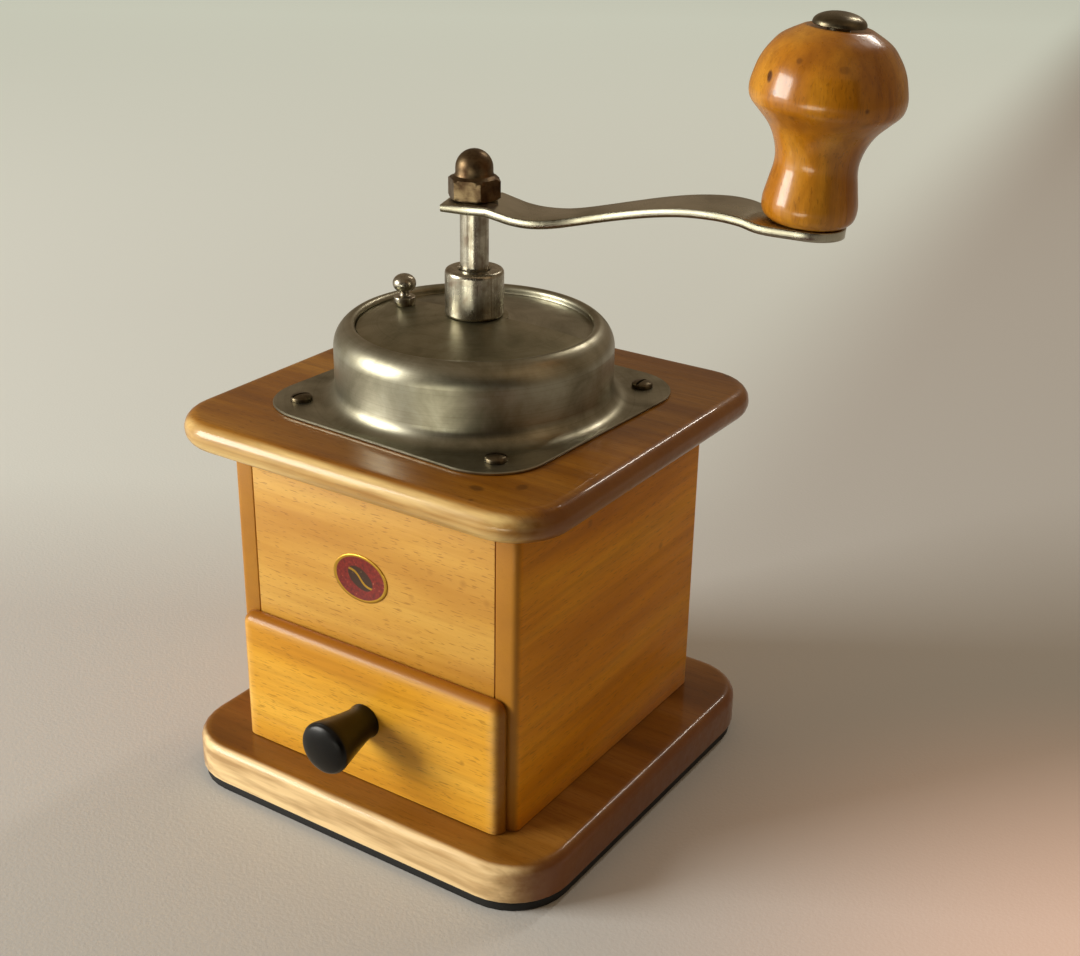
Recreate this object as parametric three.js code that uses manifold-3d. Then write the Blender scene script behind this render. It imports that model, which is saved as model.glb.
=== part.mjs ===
// A hand cranked box mill for coffee, in millimetres, +Z up.
// The origin is the middle of the rubber pad's resting face, and the drawer opens towards -Y.
// The crank's axis is the Z axis, and the crank stands at its resting angle.
import * as THREE from 'three';
import { mergeVertices } from 'three/addons/utils/BufferGeometryUtils.js';
import Module from 'manifold-3d';

const wasm = await Module();
wasm.setup();

// Clearances between pieces
const clearance = {
  glued: 0.1, // faces that are glued, screwed or riveted together
  sliding: 0.3, // faces that slide on each other
  turning: 0.3, // round a pin or shaft that turns
  screw: 0.2, // round a screw in its hole
};
const overrun = 2; // how far a cutting solid runs past what it cuts

// How finely round shapes are divided
const facets = { small: 10, turned: 20, knob: 24, dome: 36, mill: 36, edge: 4, corner: 3 };

// Driving sizes, one group for each piece
const rubberPad = { height: 3, inset: 0.8 };
const baseBoard = { side: 130, height: 11.9, cornerRadius: 18.5, edgeRadius: 3.2 };
const box = { side: 98.2, height: 93.6, boardThickness: 7.2, edgeRadius: 2.5 };
const topBoard = { side: 126, height: 8.8, cornerRadius: 17, edgeRadius: 4.2 };

const drawer = {
  frontWidth: 92.6,
  frontHeight: 41.2,
  lipThickness: 4, // the part of the front that lies on the box
  frontInset: 5, // the part of the front that fits the opening
  frontEdgeRadius: 3.3,
  frontCornerRadius: 3.8,
  frontCover: 3.4, // how far the front covers the panel above the opening
  sideThickness: 5,
  sideHeight: 34,
  backClearance: 4, // between the closed drawer and the box's back
  bottomThickness: 3,
  bottomRise: 1.5,
};
const drawerKnob = {
  neckRadius: 5,
  rimRadius: 7.8,
  length: 16.8,
  domeHeight: 2.6,
  footHeight: 1,
  holeDepth: 9,
};

const sheet = 0.8; // thickness of the dome's steel sheet
const dome = {
  flangeSide: 91,
  flangeCornerRadius: 17,
  turn: -2.8, // degrees that the sheet sits askew on the box
  wallRadius: 39.8,
  filletRadius: 5,
  height: 23,
  shoulderRadius: 7.9,
  shoulderSweep: 60, // degrees from the wall to the start of the rim
  rimRadius: 1.5,
  recessDepth: 2.5,
  openingInnerRadius: 11,
  openingOuterRadius: 30.5,
};
const lid = { span: 200, start: 172, thickness: 0.7, lift: 0.2, hubRadius: 9.6 };
const lidKnob = {
  angle: 184,
  distance: 23.6,
  footRadius: 3.1,
  footBottomRadius: 2.7,
  footHeight: 3.6,
  neckRadius: 1.3,
  neckHeight: 1.9,
  ballRadius: 3.4,
  ballHeight: 5.5,
  ballStart: -60, // degrees, where the ball leaves its neck
  rivetRadius: 1.2,
};
const collar = {
  radius: 8.3,
  height: 16.4,
  edgeRadius: 2,
  chamfer: 0.5,
  spigotRadius: 6.4,
  threadRadius: 5.7,
  threadLength: 4.2,
  nutAcrossFlats: 17,
  nutHeight: 3.2,
};

const shaft = {
  radius: 4,
  reach: 16.8, // from the collar's top to the seat of the crank arm
  squareAcrossFlats: 6.4,
  threadLength: 8.6, // above the crank arm
  endChamfer: 0.6,
  burrFlangeRadius: 6.5,
  burrFlangeHeight: 1.9,
  tailLength: 2.4, // below the burr flange
};
const crankArm = {
  angle: 18.5,
  reach: 90,
  width: 20.7, // at the knob, where it is widest
  thickness: 2.7,
  hubOverhang: 7,
  rise: 4.05, // highest rise of the arm's middle above its hub
  endAngle: 4.5, // degrees, how far the arm's end slopes down, so that the knob leans out
  endStartShare: 0.884, // where the straight end starts
  endRiseShare: 0.235, // of the arm's middle under the knob
};
// The arm's bends up to its straight end, as shares of its reach and of its rise
const armBendShares = [
  [0.06, 0], [0.1, -0.26], [0.144, -0.52], [0.2, -0.655], [0.267, -0.58], [0.333, -0.333],
  [0.411, 0.035], [0.489, 0.395], [0.578, 0.753], [0.667, 0.98], [0.756, 1], [0.822, 0.815],
];
// Half of the arm's plan, as shares of its reach and of its width
const armPlanShares = [
  [0.056, 0.44], [0.2, 0.38], [0.333, 0.262], [0.467, 0.265], [0.622, 0.353], [0.778, 0.47], [0.911, 0.5],
];
const acornNut = {
  acrossFlats: 13,
  hexHeight: 6,
  chamfer: 0.5,
  domeRadius: 5.2,
  domeHeight: 7.5,
  threadRadius: 4.2,
  threadDepth: 9.6,
};
const crankKnob = { height: 49.2, maxRadius: 19.9, boreRadius: 3.3 };
// The turned knob's outline, as shares of its largest radius and of its height
const knobOutlineShares = [
  [0.5, 0], [0.595, 0.035], [0.622, 0.1], [0.58, 0.2], [0.541, 0.29], [0.552, 0.36], [0.613, 0.435],
  [0.71, 0.5], [0.851, 0.56], [0.968, 0.612], [1, 0.672], [0.968, 0.745], [0.912, 0.815],
  [0.817, 0.88], [0.683, 0.94], [0.42, 1],
];
const knobPin = {
  radius: 3,
  rivetRadius: 2.5,
  rivetHeadRadius: 4.2,
  rivetHeadHeight: 1.3,
  capRadius: 6.8,
  capHeight: 3.4,
  capEdgeShare: 0.35, // how much of the cap's height is its straight edge
};

// The mill: a housing hung in the top board, with two burrs and the bridge that carries the shaft
const housing = {
  wall: 4.3, // of the sleeve round the outer burr
  flangeWidth: 7.5, // beyond the sleeve
  flangeThickness: 2.5,
  sleeveLength: 25.7,
  hopperWall: 2.5, // at the hopper's upper edge
  throatLip: 3, // how far the throat's lip lies over the outer burr
  throatHeight: 2,
};
const outerBurr = {
  radius: 22,
  height: 17.6,
  bottomWall: 3.8,
  topWall: 5,
  teeth: 24,
  depthShare: 0.07,
  twist: -20,
  steps: 2,
};
const innerBurr = {
  gap: 1.2, // to the outer burr's crests at the foot
  topRadius: 7.5,
  height: 15,
  neckRadius: 6.4,
  neckHeight: 5,
  teeth: 12,
  depthShare: 0.14,
  twist: 60,
  steps: 4,
};
// One tooth of a burr, as shares of its pitch round the axis and of its depth
const toothShares = [[0, 0], [0.3, 0], [0.62, 1]];
const burrPin = { radius: 1.25, overhang: 0.6 };
const bridge = {
  thickness: 3,
  width: 12,
  drop: 12.9,
  footMargin: 0.75, // between a screw's head and the foot's inner end
  plateHalfLength: 14,
  bossRadius: 7.5,
  bossHeight: 16,
  bossRise: 8,
};
const thrustBall = { radius: 3.4 };
const adjuster = {
  stemRadius: 4,
  wheelRadius: 11,
  wheelHeight: 5,
  wheelGap: 3, // below the bridge's boss
  notches: 12,
  notchRadius: 1.4,
};

const screwLensStart = 30; // degrees, where the rounding of a raised screw head starts
const flangeScrew = {
  headRadius: 3.1, headHeight: 1.8, shankRadius: 1.5, length: 8.2, tip: 2, slotWidth: 0.8, slotDepth: 0.8,
  inset: 10.7, // from the flange's edges
  turns: [0.4, 1.1, -0.5, 0.9], // how far each slot stands turned, in radians
};
const housingScrew = {
  headRadius: 2.9, headHeight: 1.6, shankRadius: 1.4, length: 9, tip: 2, slotWidth: 0.8, slotDepth: 0.7,
  count: 3,
};
const bridgeScrew = {
  headRadius: 2.6, headHeight: 1.8, shankRadius: 1.25, length: 9, tip: 0.6, slotWidth: 0.7, slotDepth: 0.8,
};
const baseScrew = {
  headRadius: 3.6, headHeight: 2.6, shankRadius: 1.8, length: 30, tip: 3, slotWidth: 0.9, slotDepth: 0.9,
  spacing: 60,
};
const drawerKnobScrew = {
  headRadius: 3.5, headHeight: 1.8, shankRadius: 1.8, length: 17.4, tip: 0.8, slotWidth: 0.9, slotDepth: 0.8,
};

// Heights, stacked from the floor up
const baseBottom = rubberPad.height + clearance.glued;
const baseTop = baseBottom + baseBoard.height;
const boxBottom = baseTop + clearance.glued;
const boxTop = boxBottom + box.height;
const topBoardBottom = boxTop + clearance.glued;
const topBoardTop = topBoardBottom + topBoard.height;
const flangeBottom = topBoardTop + clearance.glued;
const flangeTop = flangeBottom + sheet;
const domeTop = flangeBottom + dome.height;
const plateTop = domeTop - dome.recessDepth;
const plateBottom = plateTop - sheet;
const lidBottom = plateTop + lid.lift;
const lidTop = lidBottom + lid.thickness;
const collarBottom = lidTop + lid.lift;
const collarTop = collarBottom + collar.height;
const armSeat = collarTop + shaft.reach;
const armBottom = armSeat + clearance.glued;
const armTop = armBottom + crankArm.thickness;
const nutBottom = armTop + clearance.glued;
const armMiddle = armBottom + crankArm.thickness / 2;
const armEndRise = crankArm.endRiseShare * crankArm.rise;
const armEndAngle = THREE.MathUtils.degToRad(crankArm.endAngle);

// Heights of the knob and its pin, along the pin from the middle of the arm's thickness
const knobBottom = crankArm.thickness / 2 + clearance.turning;
const knobTop = knobBottom + crankKnob.height;

// Places of the dome's rolled rim
const shoulderCentre = dome.wallRadius - dome.shoulderRadius;
const shoulderSweep = THREE.MathUtils.degToRad(dome.shoulderSweep);
const rimStep = dome.shoulderRadius - dome.rimRadius;
const rimCentre = shoulderCentre + rimStep * Math.cos(shoulderSweep);
const rimHeight = domeTop - dome.rimRadius;
const shoulderHeight = rimHeight - rimStep * Math.sin(shoulderSweep);
const recessRadius = rimCentre - dome.rimRadius;

// Heights of the mill, from the top board down
const housingTop = flangeBottom + housing.flangeThickness;
const housingBottom = flangeBottom - housing.sleeveLength;
const outerBurrBottom = housingBottom + clearance.glued;
const outerBurrTop = outerBurrBottom + outerBurr.height;
const throatBottom = outerBurrTop + clearance.glued;
const innerBurrBottom = housingBottom + clearance.turning;
const burrFlangeTop = innerBurrBottom - clearance.glued;
const burrFlangeBottom = burrFlangeTop - shaft.burrFlangeHeight;
const shaftBottom = burrFlangeBottom - shaft.tailLength;
const bridgeTop = housingBottom - clearance.glued;
const bridgePlateTop = bridgeTop - bridge.drop + bridge.thickness;
const bossTop = bridgePlateTop + bridge.bossRise;
const bossBottom = bossTop - bridge.bossHeight;
const ballCentre = shaftBottom - clearance.turning - thrustBall.radius;
const stemTop = ballCentre - thrustBall.radius - clearance.turning;
const wheelTop = bossBottom - adjuster.wheelGap;

// Radii of the mill
const socketRadius = outerBurr.radius + clearance.screw;
const sleeveRadius = socketRadius + housing.wall;
const housingFlangeRadius = sleeveRadius + housing.flangeWidth;
const hopperRadius = sleeveRadius - housing.hopperWall;
const throatRadius = outerBurr.radius - housing.throatLip;
const boreBottomRadius = outerBurr.radius - outerBurr.bottomWall;
const boreTopRadius = outerBurr.radius - outerBurr.topWall;
const innerBurrRadius = boreBottomRadius - innerBurr.gap;
const bridgeScrewCircle = sleeveRadius - housing.wall / 2;

// Places across the box
const boxHalf = box.side / 2;
const boardInner = boxHalf - box.boardThickness;
const drawerFrontBack = -boxHalf - clearance.sliding;
const drawerFrontFace = drawerFrontBack - drawer.lipThickness;
const drawerFrontInner = drawerFrontBack + drawer.frontInset;
const drawerHalf = boardInner - clearance.sliding;
const drawerBottom = baseTop + clearance.sliding;
const drawerFrontTop = drawerBottom + drawer.frontHeight;
const openingTop = drawerFrontTop - drawer.frontCover;
const drawerKnobHeight = drawerBottom + drawer.frontHeight / 2;

const materials = {
  beech: new THREE.MeshStandardMaterial({ color: 0xc98c4e, roughness: 0.35, metalness: 0 }),
  endGrain: new THREE.MeshStandardMaterial({ color: 0xa96a34, roughness: 0.4, metalness: 0 }),
  steel: new THREE.MeshStandardMaterial({ color: 0xa9a8a2, roughness: 0.3, metalness: 1 }),
  darkSteel: new THREE.MeshStandardMaterial({ color: 0x6f6c66, roughness: 0.45, metalness: 1 }),
  bronze: new THREE.MeshStandardMaterial({ color: 0x8a6a4a, roughness: 0.4, metalness: 1 }),
  castIron: new THREE.MeshStandardMaterial({ color: 0x3b3a38, roughness: 0.7, metalness: 0.8 }),
  rubber: new THREE.MeshStandardMaterial({ color: 0x1c1b1a, roughness: 0.85, metalness: 0 }),
  blackPlastic: new THREE.MeshStandardMaterial({ color: 0x14110f, roughness: 0.25, metalness: 0 }),
};

const grinder = new THREE.Group();
const crank = new THREE.Group();
crank.rotation.z = THREE.MathUtils.degToRad(crankArm.angle);
grinder.add(crank);
const knobSeat = new THREE.Group();
knobSeat.position.set(crankArm.reach, 0, armMiddle + armEndRise);
knobSeat.rotation.y = armEndAngle;
crank.add(knobSeat);

// Makes a solid of a closed three.js geometry.
function solid(geometry) {
  geometry.deleteAttribute('normal');
  geometry.deleteAttribute('uv');
  const merged = mergeVertices(geometry);
  const corners = merged.index.array;
  const triangles = [];
  for (let i = 0; i < corners.length; i += 3) {
    const [a, b, c] = corners.slice(i, i + 3);
    if (a !== b && b !== c && c !== a) triangles.push(a, b, c);
  }
  const mesh = new wasm.Mesh({
    numProp: 3,
    vertProperties: merged.attributes.position.array,
    triVerts: Uint32Array.from(triangles),
  });
  return new wasm.Manifold(mesh);
}

// Adds a solid to the scene as a named mesh and returns the mesh.
function addPiece(name, body, material, parent = grinder) {
  const made = body.getMesh();
  const geometry = new THREE.BufferGeometry();
  geometry.setAttribute('position', new THREE.BufferAttribute(made.vertProperties, made.numProp));
  geometry.setIndex(new THREE.BufferAttribute(made.triVerts, 1));
  const flat = geometry.toNonIndexed();
  flat.computeVertexNormals();
  const piece = new THREE.Mesh(flat, material);
  piece.name = name;
  parent.add(piece);
  return piece;
}

// A round bar along Z.
function bar(radius, bottom, top, sides = facets.turned) {
  const geometry = new THREE.CylinderGeometry(radius, radius, top - bottom, sides);
  geometry.rotateX(Math.PI / 2);
  geometry.translate(0, 0, (top + bottom) / 2);
  return solid(geometry);
}

// A block between two corners.
function block(low, high) {
  const size = high.map((value, axis) => value - low[axis]);
  const geometry = new THREE.BoxGeometry(...size);
  geometry.translate(...high.map((value, axis) => (value + low[axis]) / 2));
  return solid(geometry);
}

// A solid turned about Z. Its outline of [radius, height] points runs up on the outside.
function turned(outline, sides = facets.turned) {
  const points = outline.map(([radius, height]) => new THREE.Vector2(radius, height));
  const geometry = new THREE.LatheGeometry(points, sides);
  geometry.rotateX(Math.PI / 2);
  return solid(geometry);
}

// Points on an arc, for an outline. Angles are in degrees.
function arc(centreRadius, centreHeight, radius, from, to, steps = facets.edge) {
  const points = [];
  for (let i = 0; i <= steps; i += 1) {
    const angle = THREE.MathUtils.degToRad(from + ((to - from) * i) / steps);
    points.push([centreRadius + radius * Math.cos(angle), centreHeight + radius * Math.sin(angle)]);
  }
  return points;
}

// A plan shape extruded along Z between two heights.
function slab(shape, bottom, top) {
  const options = { depth: top - bottom, bevelEnabled: false, curveSegments: facets.corner };
  const geometry = new THREE.ExtrudeGeometry(shape, options);
  geometry.translate(0, 0, bottom);
  return solid(geometry);
}

// A plan shape extruded along Z with its upper and lower edges rounded.
function roundedSlab(shape, bottom, top, edgeRadius) {
  const geometry = new THREE.ExtrudeGeometry(shape, {
    depth: top - bottom - 2 * edgeRadius,
    bevelThickness: edgeRadius,
    bevelSize: edgeRadius,
    bevelOffset: -edgeRadius,
    bevelSegments: facets.edge,
    curveSegments: facets.corner,
  });
  geometry.translate(0, 0, bottom + edgeRadius);
  return solid(geometry);
}

// A rectangle round the origin with one radius for each corner, from the right rear corner on.
function rectangle(width, depth, radii) {
  const shape = new THREE.Shape();
  const corners = [[1, 1], [-1, 1], [-1, -1], [1, -1]];
  corners.forEach(([x, y], turn) => {
    const radius = radii[turn];
    const centre = [x * (width / 2 - radius), y * (depth / 2 - radius)];
    const start = (turn * Math.PI) / 2;
    if (radius > 0) shape.absarc(...centre, radius, start, start + Math.PI / 2, false);
    else if (turn === 0) shape.moveTo(...centre);
    else shape.lineTo(...centre);
  });
  return shape;
}

function square(side, cornerRadius) {
  return rectangle(side, side, [cornerRadius, cornerRadius, cornerRadius, cornerRadius]);
}

// A part of a flat ring. Angles are in degrees.
function sector(innerRadius, outerRadius, start, span) {
  const from = THREE.MathUtils.degToRad(start);
  const to = THREE.MathUtils.degToRad(start + span);
  const shape = new THREE.Shape();
  shape.absarc(0, 0, outerRadius, from, to, false);
  shape.absarc(0, 0, innerRadius, to, from, true);
  return shape;
}

// A nut's six sides, with both ends chamfered.
function hexagon(acrossFlats, chamfer, bottom, top) {
  const cornerRadius = acrossFlats / Math.sqrt(3);
  const chamfered = turned([
    [0, bottom],
    [cornerRadius - 2 * chamfer, bottom],
    [cornerRadius, bottom + chamfer],
    [cornerRadius, top - chamfer],
    [cornerRadius - 2 * chamfer, top],
    [0, top],
  ]);
  return bar(cornerRadius, bottom, top, 6).intersect(chamfered);
}

// The places on a circle, from a first angle in degrees.
function roundCircle(count, radius, first = 0) {
  return Array.from({ length: count }, (_, i) => {
    const angle = THREE.MathUtils.degToRad(first) + (i * 2 * Math.PI) / count;
    return [radius * Math.cos(angle), radius * Math.sin(angle)];
  });
}

// Cuts round holes along Z out of a body.
function drill(body, places, radius, bottom, top) {
  let left = body;
  for (const [x, y] of places) {
    left = left.subtract(bar(radius, bottom, top, facets.small).translate(x, y, 0));
  }
  return left;
}

function slotted(body, size, top) {
  const half = size.slotWidth / 2;
  const reach = size.headRadius + overrun;
  return body.subtract(block([-reach, -half, top - size.slotDepth], [reach, half, top + overrun]));
}

// A screw with a raised head. The head rests on z = 0 and the shank points down.
function raisedScrew(size) {
  const lens = arc(0, 0, 1, screwLensStart, 90, facets.edge - 1);
  const edgeHeight = size.headHeight * lens[0][1];
  const head = lens.map(([across, up]) => [
    (size.headRadius * across) / lens[0][0],
    edgeHeight / 2 + ((size.headHeight - edgeHeight / 2) * (up - lens[0][1])) / (1 - lens[0][1]),
  ]);
  head[head.length - 1][0] = 0;
  const outline = [
    [0, -size.length],
    [size.shankRadius, size.tip - size.length],
    [size.shankRadius, 0],
    [size.headRadius, 0],
    ...head,
  ];
  return slotted(turned(outline, facets.small), size, size.headHeight);
}

// A countersunk screw. The head's flat top is at z = 0 and the shank points down.
function countersunkScrew(size) {
  const outline = [
    [0, -size.length],
    [size.shankRadius, size.tip - size.length],
    [size.shankRadius, -size.headHeight],
    [size.headRadius, 0],
    [0, 0],
  ];
  return slotted(turned(outline, facets.small), size, 0);
}

// A cone with helical teeth round it. Its crests lie on the cone from bottomRadius to topRadius.
function toothedCone({ bottomRadius, topRadius, bottom, top, teeth, depthShare, twist, steps }) {
  const outline = new THREE.Shape();
  for (let tooth = 0; tooth < teeth; tooth += 1) {
    for (const [turnShare, depth] of toothShares) {
      const angle = ((tooth + turnShare) * 2 * Math.PI) / teeth;
      const radius = 1 - depth * depthShare;
      const corner = [radius * Math.cos(angle), radius * Math.sin(angle)];
      if (tooth === 0 && turnShare === 0) outline.moveTo(...corner);
      else outline.lineTo(...corner);
    }
  }
  const geometry = new THREE.ExtrudeGeometry(outline, { depth: 1, steps, bevelEnabled: false });
  const places = geometry.attributes.position;
  const place = new THREE.Vector3();
  const axis = new THREE.Vector3(0, 0, 1);
  for (let i = 0; i < places.count; i += 1) {
    place.fromBufferAttribute(places, i);
    const along = place.z;
    const radius = THREE.MathUtils.lerp(bottomRadius, topRadius, along);
    place.set(place.x * radius, place.y * radius, THREE.MathUtils.lerp(bottom, top, along));
    place.applyAxisAngle(axis, THREE.MathUtils.degToRad(twist * along));
    places.setXYZ(i, place.x, place.y, place.z);
  }
  return solid(geometry);
}

function addWoodenBox() {
  const padSide = baseBoard.side - 2 * rubberPad.inset;
  const padShape = square(padSide, baseBoard.cornerRadius - rubberPad.inset);
  addPiece('rubber_pad', slab(padShape, 0, rubberPad.height), materials.rubber);
  addPiece('base_board', baseBoardBody(), materials.beech);

  const sideCentre = boxHalf - box.boardThickness / 2;
  const edge = box.edgeRadius;
  const leftShape = rectangle(box.boardThickness, box.side, [0, edge, edge, 0]);
  const rightShape = rectangle(box.boardThickness, box.side, [edge, 0, 0, edge]);
  const sides = [['left_side_board', leftShape, -sideCentre], ['right_side_board', rightShape, sideCentre]];
  for (const [name, shape, place] of sides) {
    const board = slab(shape, boxBottom, boxTop).translate(place, 0, 0);
    addPiece(name, drillForBaseScrews(board), materials.endGrain);
  }

  const panelHalf = boardInner - clearance.glued;
  const front = block([-panelHalf, -boxHalf, openingTop], [panelHalf, -boardInner, boxTop]);
  addPiece('front_panel', front, materials.beech);
  const back = block([-panelHalf, boardInner, boxBottom], [panelHalf, boxHalf, boxTop]);
  addPiece('back_panel', back, materials.beech);
  addPiece('top_board', topBoardBody(), materials.beech);
}

// The base board has only its upper edge rounded: the lower round is cut away.
function baseBoardBody() {
  const shape = square(baseBoard.side, baseBoard.cornerRadius);
  const rounded = roundedSlab(shape, baseBottom - 2 * baseBoard.edgeRadius, baseTop, baseBoard.edgeRadius);
  const half = baseBoard.side / 2 + overrun;
  const lowerPart = block([-half, -half, baseBottom - baseBoard.height], [half, half, baseBottom]);
  let board = drillForBaseScrews(rounded.subtract(lowerPart));
  const headRoom = baseScrew.headRadius + clearance.screw;
  for (const [x, y] of baseScrewPlaces()) {
    const sink = turned([
      [0, baseBottom - overrun],
      [headRoom, baseBottom - overrun],
      [headRoom, baseBottom],
      [baseScrew.shankRadius + clearance.screw, baseBottom + baseScrew.headHeight + clearance.screw],
      [0, baseBottom + baseScrew.headHeight + clearance.screw],
    ], facets.small);
    board = board.subtract(sink.translate(x, y, 0));
  }
  return board;
}

function baseScrewPlaces() {
  const across = boxHalf - box.boardThickness / 2;
  const along = baseScrew.spacing / 2;
  return [[across, along], [-across, along], [-across, -along], [across, -along]];
}

function drillForBaseScrews(body) {
  const holeTop = baseBottom + baseScrew.length + clearance.glued;
  const radius = baseScrew.shankRadius + clearance.screw;
  return drill(body, baseScrewPlaces(), radius, baseBottom - overrun, holeTop);
}

// The top board has a bull-nose edge, the mill's hole and the holes of the screws.
function topBoardBody() {
  const shape = square(topBoard.side, topBoard.cornerRadius);
  const board = roundedSlab(shape, topBoardBottom, topBoardTop, topBoard.edgeRadius);
  const holeRadius = sleeveRadius + clearance.sliding;
  const millHole = bar(holeRadius, topBoardBottom - overrun, topBoardTop + overrun, facets.mill);
  const flangeHoleBottom = flangeTop - flangeScrew.length;
  const flangeHoleRadius = flangeScrew.shankRadius + clearance.screw;
  const withFlangeHoles = drill(
    board.subtract(millHole), flangeScrewPlaces(), flangeHoleRadius, flangeHoleBottom, topBoardTop + overrun,
  );
  const housingHoleRadius = housingScrew.shankRadius + clearance.screw;
  const housingHoleBottom = housingTop - housingScrew.length;
  const places = housingScrewPlaces();
  return drill(withFlangeHoles, places, housingHoleRadius, housingHoleBottom, topBoardTop + overrun);
}

// One screw in each corner of the flange
function flangeScrewPlaces() {
  const inset = dome.flangeSide / 2 - flangeScrew.inset;
  return roundCircle(flangeScrew.turns.length, Math.hypot(inset, inset), 45 + dome.turn);
}

function housingScrewPlaces() {
  return roundCircle(housingScrew.count, sleeveRadius + housing.flangeWidth / 2, 90);
}

// The dome is one drawn sheet: a square flange, a round wall, a rolled rim and a sunk top plate.
function addHopper() {
  const seam = dome.wallRadius + dome.filletRadius; // where the wall's fillet meets the flange
  const seamLap = sheet / 2;
  const flangeShape = square(dome.flangeSide, dome.flangeCornerRadius);
  const flange = slab(flangeShape, flangeBottom, flangeTop).rotate([0, 0, dome.turn]);
  const flangeHole = bar(seam, flangeBottom - overrun, flangeTop + overrun, facets.dome);
  const shell = turned(domeOutline(seam + seamLap), facets.dome);
  const holeRadius = flangeScrew.shankRadius + clearance.screw;
  const places = flangeScrewPlaces();
  const whole = drill(
    flange.subtract(flangeHole).add(shell), places, holeRadius, flangeBottom - overrun, flangeTop + overrun,
  );
  const opening = slab(
    sector(dome.openingInnerRadius, dome.openingOuterRadius, openingStart(), openingSpan()),
    plateBottom - overrun, plateTop + overrun,
  );
  addPiece('hopper_dome', whole.subtract(opening), materials.steel);
  places.forEach(([x, y], i) => {
    const screw = addPiece(`flange_screw_${i + 1}`, raisedScrew(flangeScrew), materials.steel);
    screw.position.set(x, y, flangeTop + clearance.glued);
    screw.rotation.z = flangeScrew.turns[i];
  });
  addLid();
}

// The opening is what the lid can uncover fully, so both together go once round.
function openingSpan() {
  return 360 - lid.span;
}

function openingStart() {
  return lid.start + (lid.span - openingSpan()) / 2;
}

// The closed outline of the dome's sheet, up its outside and back down its inside.
function domeOutline(flangeRadius) {
  const seam = dome.wallRadius + dome.filletRadius;
  const filletHeight = flangeTop + dome.filletRadius;
  const holeRadius = collar.threadRadius + clearance.screw;
  return [
    [flangeRadius, flangeBottom],
    [flangeRadius, flangeTop],
    ...arc(seam, filletHeight, dome.filletRadius, 270, 180),
    ...arc(shoulderCentre, shoulderHeight, dome.shoulderRadius, 0, dome.shoulderSweep),
    ...arc(rimCentre, rimHeight, dome.rimRadius, dome.shoulderSweep, 180).slice(1),
    [recessRadius, plateTop],
    [holeRadius, plateTop],
    [holeRadius, plateBottom],
    [recessRadius + sheet, plateBottom],
    ...arc(rimCentre, rimHeight, dome.rimRadius - sheet, 180, dome.shoulderSweep, facets.edge / 2),
    ...arc(shoulderCentre, shoulderHeight, dome.shoulderRadius - sheet, dome.shoulderSweep, 0).slice(1),
    ...arc(seam, filletHeight, dome.filletRadius + sheet, 180, 270, facets.edge - 1),
    [flangeRadius, flangeBottom],
  ];
}

// The lid is a part of a disc on a hub ring. It turns on the collar's spigot.
function addLid() {
  const boreRadius = collar.spigotRadius + clearance.turning;
  const leafShape = sector(boreRadius, recessRadius - clearance.sliding, lid.start, lid.span);
  const leafGeometry = new THREE.ExtrudeGeometry(leafShape, {
    depth: lid.thickness,
    bevelEnabled: false,
    curveSegments: facets.turned / 2,
  });
  leafGeometry.translate(0, 0, lidBottom);
  const angle = THREE.MathUtils.degToRad(lidKnob.angle);
  const place = [lidKnob.distance * Math.cos(angle), lidKnob.distance * Math.sin(angle)];
  const bore = bar(boreRadius, lidBottom - overrun, lidTop + overrun);
  const plate = solid(leafGeometry).add(bar(lid.hubRadius, lidBottom, lidTop)).subtract(bore);
  const rivetHole = lidKnob.rivetRadius + clearance.glued;
  const pierced = drill(plate, [place], rivetHole, lidBottom - overrun, lidTop + overrun);
  addPiece('hopper_lid', pierced, materials.steel);
  const knob = addPiece('lid_knob', lidKnobBody(), materials.steel);
  knob.position.set(...place, lidTop);
}

// The lid's knob is a flattened ball on a thin neck and a foot. It stands on z = 0, its rivet below.
function lidKnobBody() {
  const seat = clearance.glued;
  const footTop = seat + lidKnob.footHeight;
  const ballHalf = lidKnob.ballHeight / 2;
  const ballCentre = footTop + lidKnob.neckHeight + ballHalf;
  const ball = arc(0, 0, 1, lidKnob.ballStart, 90, facets.edge * 2).map(([across, up]) => [
    lidKnob.ballRadius * across,
    ballCentre + ballHalf * up,
  ]);
  ball[ball.length - 1][0] = 0;
  return turned([
    [0, -lid.thickness],
    [lidKnob.rivetRadius, -lid.thickness],
    [lidKnob.rivetRadius, seat],
    [lidKnob.footBottomRadius, seat],
    [lidKnob.footRadius, footTop - lidKnob.footHeight / 2],
    [lidKnob.footRadius, footTop],
    [lidKnob.neckRadius, footTop],
    [lidKnob.neckRadius, footTop + lidKnob.neckHeight / 2],
    ...ball,
  ], facets.small + facets.edge);
}

// The collar is the shaft's upper bearing. Its spigot goes through the top plate to a nut below.
function addCollar() {
  const seat = plateTop + clearance.glued;
  const threadBottom = seat - collar.threadLength;
  const edge = collar.edgeRadius;
  const bore = shaft.radius + clearance.turning;
  const body = turned([
    [bore, threadBottom],
    [collar.threadRadius, threadBottom],
    [collar.threadRadius, seat],
    [collar.spigotRadius, seat],
    [collar.spigotRadius, collarBottom],
    [collar.radius - collar.chamfer, collarBottom],
    [collar.radius, collarBottom + collar.chamfer],
    ...arc(collar.radius - edge, collarTop - edge, edge, 0, 90),
    [bore, collarTop],
    [bore, threadBottom],
  ]);
  addPiece('shaft_collar', body, materials.steel);
  const nutTop = plateBottom - clearance.glued;
  const nutBottomHeight = nutTop - collar.nutHeight;
  const nut = hexagon(collar.nutAcrossFlats, collar.chamfer, nutBottomHeight, nutTop);
  const thread = bar(collar.threadRadius + clearance.glued, nutBottomHeight - overrun, nutTop + overrun);
  addPiece('collar_nut', nut.subtract(thread), materials.darkSteel);
}

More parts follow.
